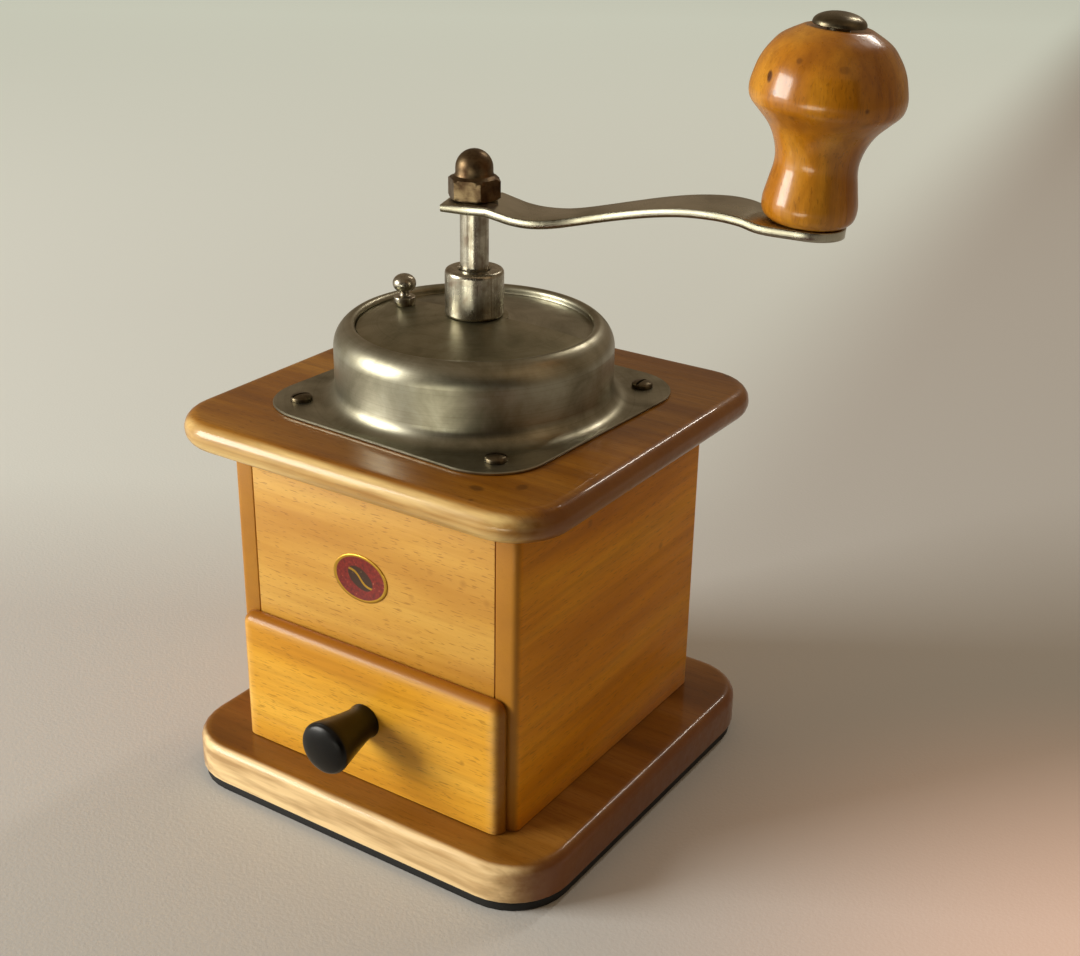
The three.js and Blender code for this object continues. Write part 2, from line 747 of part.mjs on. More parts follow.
function addCrank() {
  addPiece('drive_shaft', shaftBody(), materials.steel, crank);
  addPiece('crank_arm', crankArmBody(), materials.steel, crank);
  addPiece('acorn_nut', acornNutBody(), materials.bronze, crank);
  addPiece('crank_knob', crankKnobBody(), materials.beech, knobSeat);
  addPiece('knob_pin', knobPinBody(), materials.steel, knobSeat);
}

// A round bar with four flats, as wide as the arm's hole is.
function squaredBar(radius, acrossFlats, bottom, top) {
  const half = acrossFlats / 2;
  const flats = block([-half, -half, bottom - overrun], [half, half, top + overrun]);
  return bar(radius, bottom, top).intersect(flats);
}

// The shaft, with the burr's flange at its foot, the arm's square and the nut's thread on top.
function shaftBody() {
  const squareTop = armTop;
  const threadTop = squareTop + shaft.threadLength;
  const chamfer = shaft.endChamfer;
  const round = turned([
    [0, shaftBottom],
    [shaft.radius - chamfer, shaftBottom],
    [shaft.radius, shaftBottom + chamfer],
    [shaft.radius, burrFlangeBottom],
    [shaft.burrFlangeRadius, burrFlangeBottom],
    [shaft.burrFlangeRadius, burrFlangeTop],
    [shaft.radius, burrFlangeTop],
    [shaft.radius, armSeat],
    [0, armSeat],
  ]);
  const threadRadius = acornNut.threadRadius - clearance.screw;
  const thread = turned([
    [0, squareTop],
    [threadRadius, squareTop],
    [threadRadius, threadTop - chamfer],
    [threadRadius - chamfer, threadTop],
    [0, threadTop],
  ]);
  const flats = shaft.squareAcrossFlats;
  const square = squaredBar(threadRadius, flats, armSeat - overrun, squareTop + overrun / 2);
  const pinHole = burrPinBar(burrPin.radius + clearance.glued, shaft.burrFlangeRadius);
  return round.add(thread).add(square).subtract(pinHole);
}

// The arm is a flat bar bent in its side view and cut to its waisted plan.
function crankArmBody() {
  const endRadius = crankArm.width / 2;
  const farEnd = crankArm.reach + endRadius;
  const endHeight = (along) => armMiddle + armEndRise + (crankArm.reach - along) * Math.tan(armEndAngle);
  const endStart = crankArm.endStartShare * crankArm.reach;
  const bends = armBendShares.map(([along, up]) => new THREE.Vector2(
    along * crankArm.reach, armMiddle + up * crankArm.rise,
  ));
  bends.push(new THREE.Vector2(endStart, endHeight(endStart)));
  const course = new THREE.SplineCurve(bends).getPoints(facets.knob + facets.edge);
  const hubEnd = new THREE.Vector2(-crankArm.hubOverhang, armMiddle);
  const tip = new THREE.Vector2(farEnd + overrun, endHeight(farEnd + overrun));
  const centreLine = [hubEnd, ...course, tip];
  const side = new THREE.Shape([
    ...offsetLine(centreLine, -crankArm.thickness / 2),
    ...offsetLine(centreLine, crankArm.thickness / 2).reverse(),
  ]);
  const bent = new THREE.ExtrudeGeometry(side, { depth: crankArm.width, bevelEnabled: false });
  bent.rotateX(Math.PI / 2);
  bent.translate(0, crankArm.width / 2, 0);

  const edgePlaces = armPlanShares.map(([along, across]) => new THREE.Vector2(
    along * crankArm.reach, across * crankArm.width,
  ));
  const edge = new THREE.SplineCurve(edgePlaces).getPoints(facets.small);
  const hubHalf = edge[0].y;
  const plan = new THREE.Shape();
  plan.absarc(crankArm.reach, 0, endRadius, -Math.PI / 2, Math.PI / 2, false);
  edge.reverse().forEach(({ x, y }) => plan.lineTo(x, y));
  plan.lineTo(-crankArm.hubOverhang, hubHalf);
  plan.lineTo(-crankArm.hubOverhang, -hubHalf);
  edge.reverse().forEach(({ x, y }) => plan.lineTo(x, -y));
  const outline = slab(plan, armBottom - crankArm.rise, armTop + 2 * crankArm.rise);

  const holeRadius = acornNut.threadRadius;
  const holeFlats = shaft.squareAcrossFlats + 2 * clearance.screw;
  const hubHole = squaredBar(holeRadius, holeFlats, armBottom - overrun, armTop + overrun);
  const pinHole = bar(knobPin.rivetRadius + clearance.screw, -crankArm.thickness, crankArm.thickness)
    .rotate([0, crankArm.endAngle, 0])
    .translate(crankArm.reach, 0, armMiddle + armEndRise);
  return solid(bent).intersect(outline).subtract(hubHole).subtract(pinHole);
}

// A line moved sideways, to the left of its course by a positive distance.
function offsetLine(points, distance) {
  return points.map((point, i) => {
    const before = points[Math.max(i - 1, 0)];
    const after = points[Math.min(i + 1, points.length - 1)];
    const course = after.clone().sub(before).normalize();
    return new THREE.Vector2(point.x - course.y * distance, point.y + course.x * distance);
  });
}

function acornNutBody() {
  const hexTop = nutBottom + acornNut.hexHeight;
  const top = hexTop + acornNut.domeHeight;
  const domeStart = top - acornNut.domeRadius;
  const cap = arc(0, domeStart, acornNut.domeRadius, 0, 90, facets.edge + 1);
  cap[cap.length - 1][0] = 0;
  const domed = turned([[0, nutBottom], [acornNut.domeRadius, nutBottom], ...cap], facets.turned);
  const hex = hexagon(acornNut.acrossFlats, acornNut.chamfer, nutBottom, hexTop);
  const thread = bar(acornNut.threadRadius, nutBottom - overrun, nutBottom + acornNut.threadDepth);
  return hex.add(domed).subtract(thread);
}

function crankKnobBody() {
  const course = new THREE.SplineCurve(knobOutlineShares.map(([out, up]) => new THREE.Vector2(
    out * crankKnob.maxRadius, knobBottom + up * crankKnob.height,
  )));
  const outer = course.getPoints(facets.knob - facets.edge).map((point) => [point.x, point.y]);
  outer[outer.length - 1][1] = knobTop;
  const outline = [
    [crankKnob.boreRadius, knobBottom], ...outer, [crankKnob.boreRadius, knobTop],
    [crankKnob.boreRadius, knobBottom],
  ];
  return turned(outline, facets.knob);
}

// The knob's pin is riveted to the arm, and its domed cap holds the knob on.
function knobPinBody() {
  const shoulder = crankArm.thickness / 2 + clearance.glued;
  const rivetTop = -shoulder;
  const capBottom = knobTop + clearance.turning;
  const edgeHeight = knobPin.capEdgeShare * knobPin.capHeight;
  const cap = arc(0, 0, 1, 0, 90, facets.edge + 1).map(([across, up]) => [
    knobPin.capRadius * across,
    capBottom + edgeHeight + (knobPin.capHeight - edgeHeight) * up,
  ]);
  cap[cap.length - 1][0] = 0;
  return turned([
    [0, rivetTop - knobPin.rivetHeadHeight],
    [knobPin.rivetRadius, rivetTop - knobPin.rivetHeadHeight],
    [knobPin.rivetHeadRadius, rivetTop - knobPin.rivetHeadHeight / 2],
    [knobPin.rivetHeadRadius, rivetTop],
    [knobPin.rivetRadius, rivetTop],
    [knobPin.rivetRadius, shoulder],
    [knobPin.radius, shoulder],
    [knobPin.radius, capBottom],
    [knobPin.capRadius, capBottom],
    ...cap,
  ]);
}

// The housing hangs in the top board by its flange and holds the outer burr in its sleeve.
function addMill() {
  const body = turned([
    [socketRadius, housingBottom],
    [sleeveRadius, housingBottom],
    [sleeveRadius, flangeBottom],
    [housingFlangeRadius, flangeBottom],
    [housingFlangeRadius, housingTop],
    [hopperRadius, housingTop],
    [throatRadius, throatBottom + housing.throatHeight],
    [throatRadius, throatBottom],
    [socketRadius, throatBottom],
    [socketRadius, housingBottom],
  ], facets.mill);
  const flangeHole = housingScrew.shankRadius + clearance.screw;
  const places = housingScrewPlaces();
  const withHoles = drill(body, places, flangeHole, flangeBottom - overrun, housingTop + overrun);
  const bridgeHoleTop = bridgeTop - bridge.thickness + bridgeScrew.length + clearance.screw;
  const bridgeHole = bridgeScrew.shankRadius + clearance.screw;
  const drilled = drill(withHoles, bridgeScrewPlaces(), bridgeHole, housingBottom - overrun, bridgeHoleTop);
  addPiece('mill_housing', drilled, materials.castIron);
  places.forEach(([x, y], i) => {
    const screw = addPiece(`housing_screw_${i + 1}`, raisedScrew(housingScrew), materials.darkSteel);
    screw.position.set(x, y, housingTop + clearance.glued);
  });
  addBurrs();
  addBridge();
}

function bridgeScrewPlaces() {
  return [[bridgeScrewCircle, 0], [-bridgeScrewCircle, 0]];
}

function burrPinBar(radius, halfLength) {
  const height = innerBurrBottom + innerBurr.height + innerBurr.neckHeight / 2;
  const geometry = new THREE.CylinderGeometry(radius, radius, 2 * halfLength, facets.small);
  geometry.translate(0, 0, height);
  return solid(geometry);
}

function addBurrs() {
  const ring = bar(outerBurr.radius, outerBurrBottom, outerBurrTop, facets.mill);
  const slope = (boreTopRadius - boreBottomRadius) / outerBurr.height;
  const rootRadius = (radius) => radius / (1 - outerBurr.depthShare);
  const cutter = toothedCone({
    ...outerBurr,
    bottomRadius: rootRadius(boreBottomRadius - slope * overrun),
    topRadius: rootRadius(boreTopRadius + slope * overrun),
    bottom: outerBurrBottom - overrun,
    top: outerBurrTop + overrun,
  });
  addPiece('outer_burr', ring.subtract(cutter), materials.darkSteel);

  const coneTop = innerBurrBottom + innerBurr.height;
  const neckTop = coneTop + innerBurr.neckHeight;
  const cone = toothedCone({
    ...innerBurr,
    bottomRadius: innerBurrRadius,
    bottom: innerBurrBottom,
    top: coneTop,
  });
  const neck = bar(innerBurr.neckRadius, coneTop - overrun, neckTop);
  const bore = bar(shaft.radius + clearance.screw, innerBurrBottom - overrun, neckTop + overrun);
  const pinHole = burrPinBar(burrPin.radius + clearance.glued, innerBurrRadius);
  addPiece('inner_burr', cone.add(neck).subtract(bore).subtract(pinHole), materials.darkSteel, crank);
  const pin = burrPinBar(burrPin.radius, innerBurr.neckRadius + burrPin.overhang);
  addPiece('burr_pin', pin, materials.steel, crank);
}

// The bridge is a bent strap with a boss, where the shaft's foot turns on a ball.
function addBridge() {
  const footOuter = sleeveRadius;
  const footInner = bridgeScrewCircle - bridgeScrew.headRadius - bridge.footMargin;
  const plateBottomHeight = bridgePlateTop - bridge.thickness;
  const footBottom = bridgeTop - bridge.thickness;
  const rightHalf = [
    [footOuter, bridgeTop],
    [footOuter, footBottom],
    [footInner, footBottom],
    [bridge.plateHalfLength, plateBottomHeight],
  ];
  const rightUpper = [
    [bridge.plateHalfLength - bridge.thickness / 2, bridgePlateTop],
    [footInner - bridge.thickness / 2, bridgeTop],
  ];
  const mirrored = (points) => points.map(([x, z]) => [-x, z]).reverse();
  const outline = [...rightHalf, ...mirrored(rightHalf), ...mirrored(rightUpper), ...rightUpper];
  const side = new THREE.Shape(outline.map(([x, z]) => new THREE.Vector2(x, z)));
  const strap = new THREE.ExtrudeGeometry(side, { depth: bridge.width, bevelEnabled: false });
  strap.rotateX(Math.PI / 2);
  strap.translate(0, bridge.width / 2, 0);
  const boss = bar(bridge.bossRadius, bossBottom, bossTop);
  const bore = bar(adjuster.stemRadius + clearance.turning, bossBottom - overrun, bossTop + overrun);
  const holeRadius = bridgeScrew.shankRadius + clearance.screw;
  const whole = solid(strap).add(boss).subtract(bore);
  const places = bridgeScrewPlaces();
  const body = drill(whole, places, holeRadius, footBottom - overrun, bridgeTop + overrun);
  addPiece('bearing_bridge', body, materials.castIron);
  places.forEach(([x, y], i) => {
    const screw = addPiece(`bridge_screw_${i + 1}`, raisedScrew(bridgeScrew), materials.darkSteel);
    screw.position.set(x, y, footBottom - clearance.glued);
    screw.rotation.x = Math.PI;
  });

  const ball = new THREE.SphereGeometry(thrustBall.radius, facets.small + facets.edge, facets.small);
  addPiece('thrust_ball', solid(ball.translate(0, 0, ballCentre)), materials.steel);
  addPiece('adjusting_screw', adjusterBody(), materials.darkSteel);
}

// The adjusting screw lifts the ball, and its wheel has notches for the fingers.
function adjusterBody() {
  const wheelBottom = wheelTop - adjuster.wheelHeight;
  const stem = bar(adjuster.stemRadius, wheelTop - overrun, stemTop);
  const wheel = bar(adjuster.wheelRadius, wheelBottom, wheelTop);
  const places = roundCircle(adjuster.notches, adjuster.wheelRadius);
  return drill(wheel, places, adjuster.notchRadius, wheelBottom - overrun, wheelTop + overrun).add(stem);
}

function addDrawer() {
  addPiece('drawer_front', drawerFrontBody(), materials.beech);
  const inner = drawerHalf - drawer.sideThickness;
  const boxFront = drawerFrontInner + clearance.glued;
  const boxBack = boardInner - drawer.backClearance;
  const boxTopHeight = drawerBottom + drawer.sideHeight;
  for (const [name, side] of [['drawer_left_side', -1], ['drawer_right_side', 1]]) {
    const edges = [side * inner, side * drawerHalf].sort((a, b) => a - b);
    const board = block([edges[0], boxFront, drawerBottom], [edges[1], boxBack, boxTopHeight]);
    addPiece(name, board, materials.beech);
  }
  const between = inner - clearance.glued;
  const backFront = boxBack - drawer.sideThickness;
  const back = block([-between, backFront, drawerBottom], [between, boxBack, boxTopHeight]);
  addPiece('drawer_back', back, materials.beech);
  const floor = drawerBottom + drawer.bottomRise;
  const bottom = block(
    [-between, boxFront, floor],
    [between, backFront - clearance.glued, floor + drawer.bottomThickness],
  );
  addPiece('drawer_bottom', bottom, materials.beech);
  addDrawerKnob();
}

// The drawer's front is rebated. Its lip lies on the box, with the outer upper and side edges rounded,
// and the rest of it fits the opening. The lip is made with extra below and behind that is cut away.
function drawerFrontBody() {
  const edge = drawer.frontEdgeRadius;
  const height = drawer.frontHeight + 2 * edge;
  const corner = drawer.frontCornerRadius;
  const shape = rectangle(drawer.frontWidth, height, [corner, corner, 0, 0]);
  const board = roundedSlab(shape, -2 * edge, drawer.lipThickness, edge);
  const half = drawer.frontWidth / 2 + overrun;
  const behind = block([-half, -height, -2 * edge - overrun], [half, height, 0]);
  const cutHeight = -height / 2 + 2 * edge;
  const below = block([-half, -height, -height], [half, cutHeight, height]);
  const cut = board.subtract(behind).subtract(below);
  const upright = cut.translate(0, -cutHeight, 0).rotate([90, 0, 0]);
  const lip = upright.translate(0, drawerFrontBack, drawerBottom);
  const insetTop = openingTop - clearance.sliding;
  const inset = block(
    [-drawerHalf, drawerFrontBack - drawer.lipThickness / 2, drawerBottom],
    [drawerHalf, drawerFrontInner, insetTop],
  );
  const holeRadius = drawerKnobScrew.shankRadius + clearance.screw;
  const hole = bar(holeRadius, -drawerFrontInner - overrun, overrun - drawerFrontFace, facets.small);
  return lip.add(inset).subtract(hole.rotate([90, 0, 0]).translate(0, 0, drawerKnobHeight));
}

// The drawer's knob is a tapered turning with a domed face, held by a screw from inside.
function addDrawerKnob() {
  const seat = clearance.glued;
  const rim = seat + drawerKnob.length;
  const face = arc(0, 0, 1, 0, 90).map(([across, up]) => [
    drawerKnob.rimRadius * across,
    rim + drawerKnob.domeHeight * up,
  ]);
  face[face.length - 1][0] = 0;
  const holeRadius = drawerKnobScrew.shankRadius + clearance.screw;
  const body = turned([
    [0, seat + drawerKnob.holeDepth],
    [holeRadius, seat + drawerKnob.holeDepth],
    [holeRadius, seat],
    [drawerKnob.neckRadius, seat],
    [drawerKnob.neckRadius, seat + drawerKnob.footHeight],
    ...face,
  ]);
  const knob = addPiece('drawer_knob', body, materials.blackPlastic);
  knob.position.set(0, drawerFrontFace, drawerKnobHeight);
  knob.rotation.x = Math.PI / 2;

  const screw = addPiece('drawer_knob_screw', raisedScrew(drawerKnobScrew), materials.steel);
  screw.position.set(0, drawerFrontInner + clearance.glued, drawerKnobHeight);
  screw.rotation.x = -Math.PI / 2;
}

function addBaseScrews() {
  baseScrewPlaces().forEach(([x, y], i) => {
    const screw = addPiece(`base_screw_${i + 1}`, countersunkScrew(baseScrew), materials.darkSteel);
    screw.position.set(x, y, baseBottom);
    screw.rotation.x = Math.PI;
  });
}

addWoodenBox();
addHopper();
addCollar();
addCrank();
addMill();
addDrawer();
addBaseScrews();

export default grinder;
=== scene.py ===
# The looks of a hand cranked box mill for coffee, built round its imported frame.
# Sizes in the dictionaries are millimetres unless a note says otherwise.
import math

import bmesh
import bpy
from mathutils import Matrix, Vector


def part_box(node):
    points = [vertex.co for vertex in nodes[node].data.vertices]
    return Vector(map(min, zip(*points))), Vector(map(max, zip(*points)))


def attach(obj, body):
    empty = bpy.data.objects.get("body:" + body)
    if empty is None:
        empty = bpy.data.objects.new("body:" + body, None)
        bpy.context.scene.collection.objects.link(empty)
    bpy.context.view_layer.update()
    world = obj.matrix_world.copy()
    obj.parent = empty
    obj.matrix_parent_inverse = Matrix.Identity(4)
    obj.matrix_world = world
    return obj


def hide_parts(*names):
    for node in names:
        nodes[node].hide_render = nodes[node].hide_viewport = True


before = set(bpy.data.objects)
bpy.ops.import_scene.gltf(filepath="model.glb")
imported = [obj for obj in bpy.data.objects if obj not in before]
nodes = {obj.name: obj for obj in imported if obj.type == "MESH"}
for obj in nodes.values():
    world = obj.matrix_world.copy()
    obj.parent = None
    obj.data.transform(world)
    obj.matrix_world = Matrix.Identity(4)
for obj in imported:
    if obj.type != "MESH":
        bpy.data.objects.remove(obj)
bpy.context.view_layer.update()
mm = 0.001


# Camera, floor and lamps

# Fitted to the screws, board corners, knob and nut of the photograph, for an image 1080 wide
photoView = {
    "place": (247.0, -343.1, 280.0),
    "yaw": 33.14,
    "pitch": -23.99,
    "roll": 1.01,
    "focalPixels": 1569.8,
    "imageWidth": 1080,
    "sensor": 36.0,
}
# Places, reaches and sizes here are metres
lookAround = {
    "floorColour": "#d4d5d3",
    "floorHalf": 6,
    "grainsPerMetre": 900.0,
    # Painted light on the paper behind the mill, and a painted shadow at the mill's right
    "glowColour": "#e1efdf",
    "glowShare": 0.5,
    "glowSteps": [(0.04, 0.0), (0.1, 0.17), (0.22, 0.2), (0.35, 0.26), (0.55, 0.34), (0.83, 0.44)],
    "shadeLean": -0.45,
    "shadeEdge": (-0.08, 0.06),
    # A painted patch of sun on the paper
    "warmColour": "#ffae80",
    "warmPlace": (0.26, -0.01, 0.0),
    "warmReach": (0.2, 0.2, 1.0),
    "warmFull": 0.2,
    "warmLight": 0.34,
    # Painted reflections: a bright and a dark patch that only shiny skins mirror
    "brightColour": "#fffbe8",
    "brightPlace": (0.12, -0.78, 0.0),
    "brightReach": (0.28, 0.32, 1.0),
    "brightFull": 0.75,
    "brightLight": 7.0,
    "dimColour": "#5c160a",
    "dimPlace": (0.21, -0.29, 0.0),
    "dimReach": (0.24, 0.24, 1.0),
    "dimFull": 0.6,
    "dimLight": 1.0,
    "worldColour": "#e6c9a6",
    "worldStrength": 0.31,
    "lampAim": (0, 0, 0.1),
    "windowPlace": (-1.10, -1.04, 0.50),
    "windowSize": (0.75, 0.75),
    "windowPower": 30.0,
    "windowColour": "#fffcf4",
    "fillPlace": (1.6, -0.3, 1.2),
    "fillSize": (1.8, 1.6),
    "fillPower": 1.7,
    "fillColour": "#ffd2a0",
    "stripPlace": (0.14, 1.17, 1.10),
    "stripSize": (0.07, 0.5),
    "stripPower": 3.0,
    "stripColour": "#fff4e6",
    "roomColour": "#2a1c12",
    "roomDark": "#1a110b",
    "foldsPerMetre": 6.0,
    "wallColour": "#bdb5a4",
    "roomPlace": (0.55, -0.76, 0.42),
    "roomSize": (0.75, 0.4),
}


def linear(hexColour):
    values = [int(hexColour[i:i + 2], 16) / 255 for i in (1, 3, 5)]
    light = [v / 12.92 if v <= 0.04045 else ((v + 0.055) / 1.055) ** 2.4 for v in values]
    return (*light, 1.0)


# Inputs come by name or number, or as a row from the first on, and a node stands for its shown output
def setInputs(tree, node, inputs):
    rows = inputs.items() if isinstance(inputs, dict) else enumerate(inputs)
    for socket, value in rows:
        if isinstance(value, bpy.types.Node):
            value = next(output for output in value.outputs if output.enabled)
        if isinstance(value, bpy.types.NodeSocket):
            tree.links.new(value, node.inputs[socket])
        else:
            node.inputs[socket].default_value = value


def addNode(tree, kind, inputs=(), stops=(), **settings):
    node = tree.nodes.new(kind)
    for name, value in settings.items():
        setattr(node, name, value)
    if stops:  # the stops of a colour ramp, as (place, hex colour or grey value)
        ramp = node.color_ramp
        while len(ramp.elements) < len(stops):
            ramp.elements.new(1.0)
        for element, (place, value) in zip(ramp.elements, stops):
            element.position = place
            element.color = linear(value) if isinstance(value, str) else (value, value, value, 1)
    setInputs(tree, node, inputs)
    return node


def newMaterial(name):
    material = bpy.data.materials.new(name)
    material.use_nodes = True
    tree = material.node_tree
    tree.nodes.clear()
    shader = addNode(tree, "ShaderNodeBsdfPrincipled")
    addNode(tree, "ShaderNodeOutputMaterial", {"Surface": shader})
    return material, tree, shader, addNode(tree, "ShaderNodeTexCoord").outputs


# A point as a spot sees it, and how far out it lies there: one at the spot's edge
def seenFromSpot(tree, place, centre, halfSize, lean=0.0):
    spot = addNode(tree, "ShaderNodeMapping", {
        "Vector": place, "Location": centre, "Rotation": (0.0, math.radians(lean), 0.0), "Scale": halfSize,
    }, vector_type="TEXTURE")
    return spot, addNode(tree, "ShaderNodeVectorMath", {0: spot}, operation="LENGTH")


# One layer of a finish: a mask, from where its pattern starts to where it is full, and the shade it lays
def layOver(tree, colour, pattern, span, strength, shade, slope="LINEAR"):
    mask = addNode(tree, "ShaderNodeMapRange", {
        "Value": pattern, "From Min": span[0], "From Max": span[1], "To Max": strength,
    }, interpolation_type=slope)
    return addNode(tree, "ShaderNodeMix", {0: mask, 6: colour, 7: linear(shade)}, data_type="RGBA"), mask


def addObject(name, data):
    holder = bpy.data.objects.new(name, data)
    bpy.context.scene.collection.objects.link(holder)
    return holder


def meshFrom(name, shape):
    mesh = bpy.data.meshes.new(name)
    shape.to_mesh(mesh)
    shape.free()
    return mesh


def addCamera():
    data = bpy.data.cameras.new("photoCamera")
    camera = addObject("photoCamera", data)
    yaw, pitch, roll = (math.radians(photoView[k]) for k in ("yaw", "pitch", "roll"))
    ahead = Vector((-math.sin(yaw) * math.cos(pitch), math.cos(yaw) * math.cos(pitch), math.sin(pitch)))
    right = Vector((math.cos(yaw), math.sin(yaw), 0))
    up = right.cross(ahead)
    turnedRight = right * math.cos(roll) + up * math.sin(roll)
    turnedUp = up * math.cos(roll) - right * math.sin(roll)
    rows = [(turnedRight[i], turnedUp[i], -ahead[i], photoView["place"][i] * mm) for i in range(3)]
    camera.matrix_world = Matrix((*rows, (0, 0, 0, 1)))
    data.sensor_width = photoView["sensor"]
    data.lens = photoView["focalPixels"] * photoView["sensor"] / photoView["imageWidth"]
    data.clip_start, data.clip_end = 0.01, 50
    bpy.context.scene.camera = camera


def addLamp(name):
    look = lookAround
    data = bpy.data.lights.new(name + "Light", "AREA")
    data.shape = "RECTANGLE"
    data.size, data.size_y = look[name + "Size"]
    data.energy = look[name + "Power"]
    data.color = linear(look[name + "Colour"])[:3]
    lamp = addObject(name + "Light", data)
    lamp.location = look[name + "Place"]
    aim = Vector(look["lampAim"]) - Vector(look[name + "Place"])
    lamp.rotation_mode = "QUATERNION"
    lamp.rotation_quaternion = aim.to_track_quat("-Z", "Y")


# Matt paper, seen by the camera as if it rose and caught more light behind the mill: a painted light, taken
# away right of the mill as a painted shadow
def addFloor():
    look = lookAround
    shape = bmesh.new()
    bmesh.ops.create_grid(shape, x_segments=8, y_segments=8, size=look["floorHalf"])
    floor = addObject("studioFloor", meshFrom("studioFloor", shape))
    material, tree, shader, coordinates = newMaterial("paleBackgroundPaper")
    place = coordinates["Object"]
    yaw = math.radians(photoView["yaw"])
    behind, toRight = (addNode(tree, "ShaderNodeVectorMath", (place, way), operation="DOT_PRODUCT")
                       for way in ((-math.sin(yaw), math.cos(yaw), 0.0), (math.cos(yaw), math.sin(yaw), 0.0)))
    share = addNode(tree, "ShaderNodeMath", (behind, look["glowShare"]), operation="MULTIPLY")
    glow = addNode(tree, "ShaderNodeValToRGB", {0: share}, stops=look["glowSteps"])
    # The glow is taken away to the right of the mill, which leaves a painted shadow on the paper there
    shaded = addNode(tree, "ShaderNodeMath", (behind, look["shadeLean"], toRight), operation="MULTIPLY_ADD")
    side = addNode(tree, "ShaderNodeMapRange", {
        "Value": shaded, "From Min": look["shadeEdge"][0], "From Max": look["shadeEdge"][1],
        "To Min": 1.0, "To Max": 0.0,
    }, interpolation_type="SMOOTHSTEP")
    rays = addNode(tree, "ShaderNodeLightPath").outputs
    for factor in (side, rays["Is Camera Ray"]):
        glow = addNode(tree, "ShaderNodeMath", (glow, factor), operation="MULTIPLY")

    def patch(name, ray):
        away = seenFromSpot(tree, place, look[name + "Place"], look[name + "Reach"])[1]
        spot = addNode(tree, "ShaderNodeMapRange", {
            "Value": away, "From Min": 1.0, "From Max": look[name + "Full"], "To Max": look[name + "Light"],
        }, interpolation_type="SMOOTHSTEP")
        return addNode(tree, "ShaderNodeMath", (spot, rays[ray]), operation="MULTIPLY")

    # A painted warm patch of sun at the right, and a bright and a dim patch in front that only shiny skins
    # mirror, as painted reflections
    base = addNode(tree, "ShaderNodeMix", {
        0: patch("dim", "Is Glossy Ray"), 6: linear(look["floorColour"]), 7: linear(look["dimColour"]),
    }, data_type="RGBA")
    lit = (0.0, 0.0, 0.0)
    for name, light in (("glow", glow), ("warm", patch("warm", "Is Camera Ray")),
                        ("bright", patch("bright", "Is Glossy Ray"))):
        more = addNode(tree, "ShaderNodeVectorMath", {0: linear(look[name + "Colour"])[:3], 3: light},
                       operation="SCALE")
        lit = addNode(tree, "ShaderNodeVectorMath", (lit, more), operation="ADD")
    fine = addNode(tree, "ShaderNodeTexNoise", {
        "Vector": place, "Scale": look["grainsPerMetre"], "Detail": 2.0,
    })
    bump = addNode(tree, "ShaderNodeBump", {"Height": fine, "Strength": 0.2, "Distance": 0.3 * mm})
    setInputs(tree, shader, {
        "Base Color": base, "Emission Color": lit, "Emission Strength": 1.0, "Roughness": 0.8, "Normal": bump,
    })
    floor.data.materials.append(material)


# The room behind the camera is dim and brown, which the metal mirrors
def addRoomCard():
    look = lookAround
    shape = bmesh.new()
    bmesh.ops.create_grid(shape, x_segments=1, y_segments=1, size=1)
    turn = Matrix.Rotation(math.radians(photoView["yaw"]), 4, "Z") @ Matrix.Rotation(math.radians(90), 4, "X")
    spread = Matrix.Diagonal((*look["roomSize"], 1, 1))
    stand = Matrix.Translation(look["roomPlace"]) @ turn @ spread
    bmesh.ops.transform(shape, verts=shape.verts, matrix=stand)
    card = addObject("dimRoomCard", meshFrom("dimRoomCard", shape))
    material, tree, shader, coordinates = newMaterial("dimRoomCloth")
    folds = addNode(tree, "ShaderNodeTexNoise", {
        "Vector": coordinates["Object"], "Scale": look["foldsPerMetre"], "Detail": 2.0,
    })
    tone = addNode(tree, "ShaderNodeValToRGB", {0: folds}, stops=[
        (0.35, look["roomDark"]), (0.7, look["roomColour"]),
    ])
    seen = addNode(tree, "ShaderNodeLightPath").outputs["Is Camera Ray"]
    pale = addNode(tree, "ShaderNodeVectorMath", {0: linear(look["wallColour"])[:3], 3: seen},
                   operation="SCALE")
    setInputs(tree, shader, {
        "Base Color": tone, "Emission Color": pale, "Emission Strength": 1.0, "Roughness": 0.9,
    })
    card.data.materials.append(material)


def addSurroundings():
    scene = bpy.context.scene
    scene.view_settings.view_transform = "Standard"
    world = bpy.data.worlds.new("studioRoom")
    scene.world = world
    world.use_nodes = True
    setInputs(world.node_tree, world.node_tree.nodes["Background"], {
        "Color": linear(lookAround["worldColour"]), "Strength": lookAround["worldStrength"],
    })
    addFloor()
    addRoomCard()
    # The window is low on the left, the room on the right gives little, and a strip behind lines the edges
    for name in ("window", "fill", "strip"):
        addLamp(name)


addCamera()
addSurroundings()
print("camera, floor and lamps are made")


# Mesh helpers

poleRadius, mergeReach = 0.0005, 0.002
# The corners of a flat outline: the side each lies on, and the angle where its arc starts
quarters = ((1, 1, 0), (-1, 1, 90), (-1, -1, 180), (1, -1, 270))


def finishPiece(name, shape, body, replaced, material, sharpAngle=32):
    bmesh.ops.recalc_face_normals(shape, faces=shape.faces)
    mesh = meshFrom(name, shape)
    mesh.shade_smooth()
    mesh.set_sharp_from_angle(angle=math.radians(sharpAngle))
    mesh.materials.append(material)
    piece = addObject(name, mesh)
    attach(piece, body)
    if replaced:
        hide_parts(*replaced)


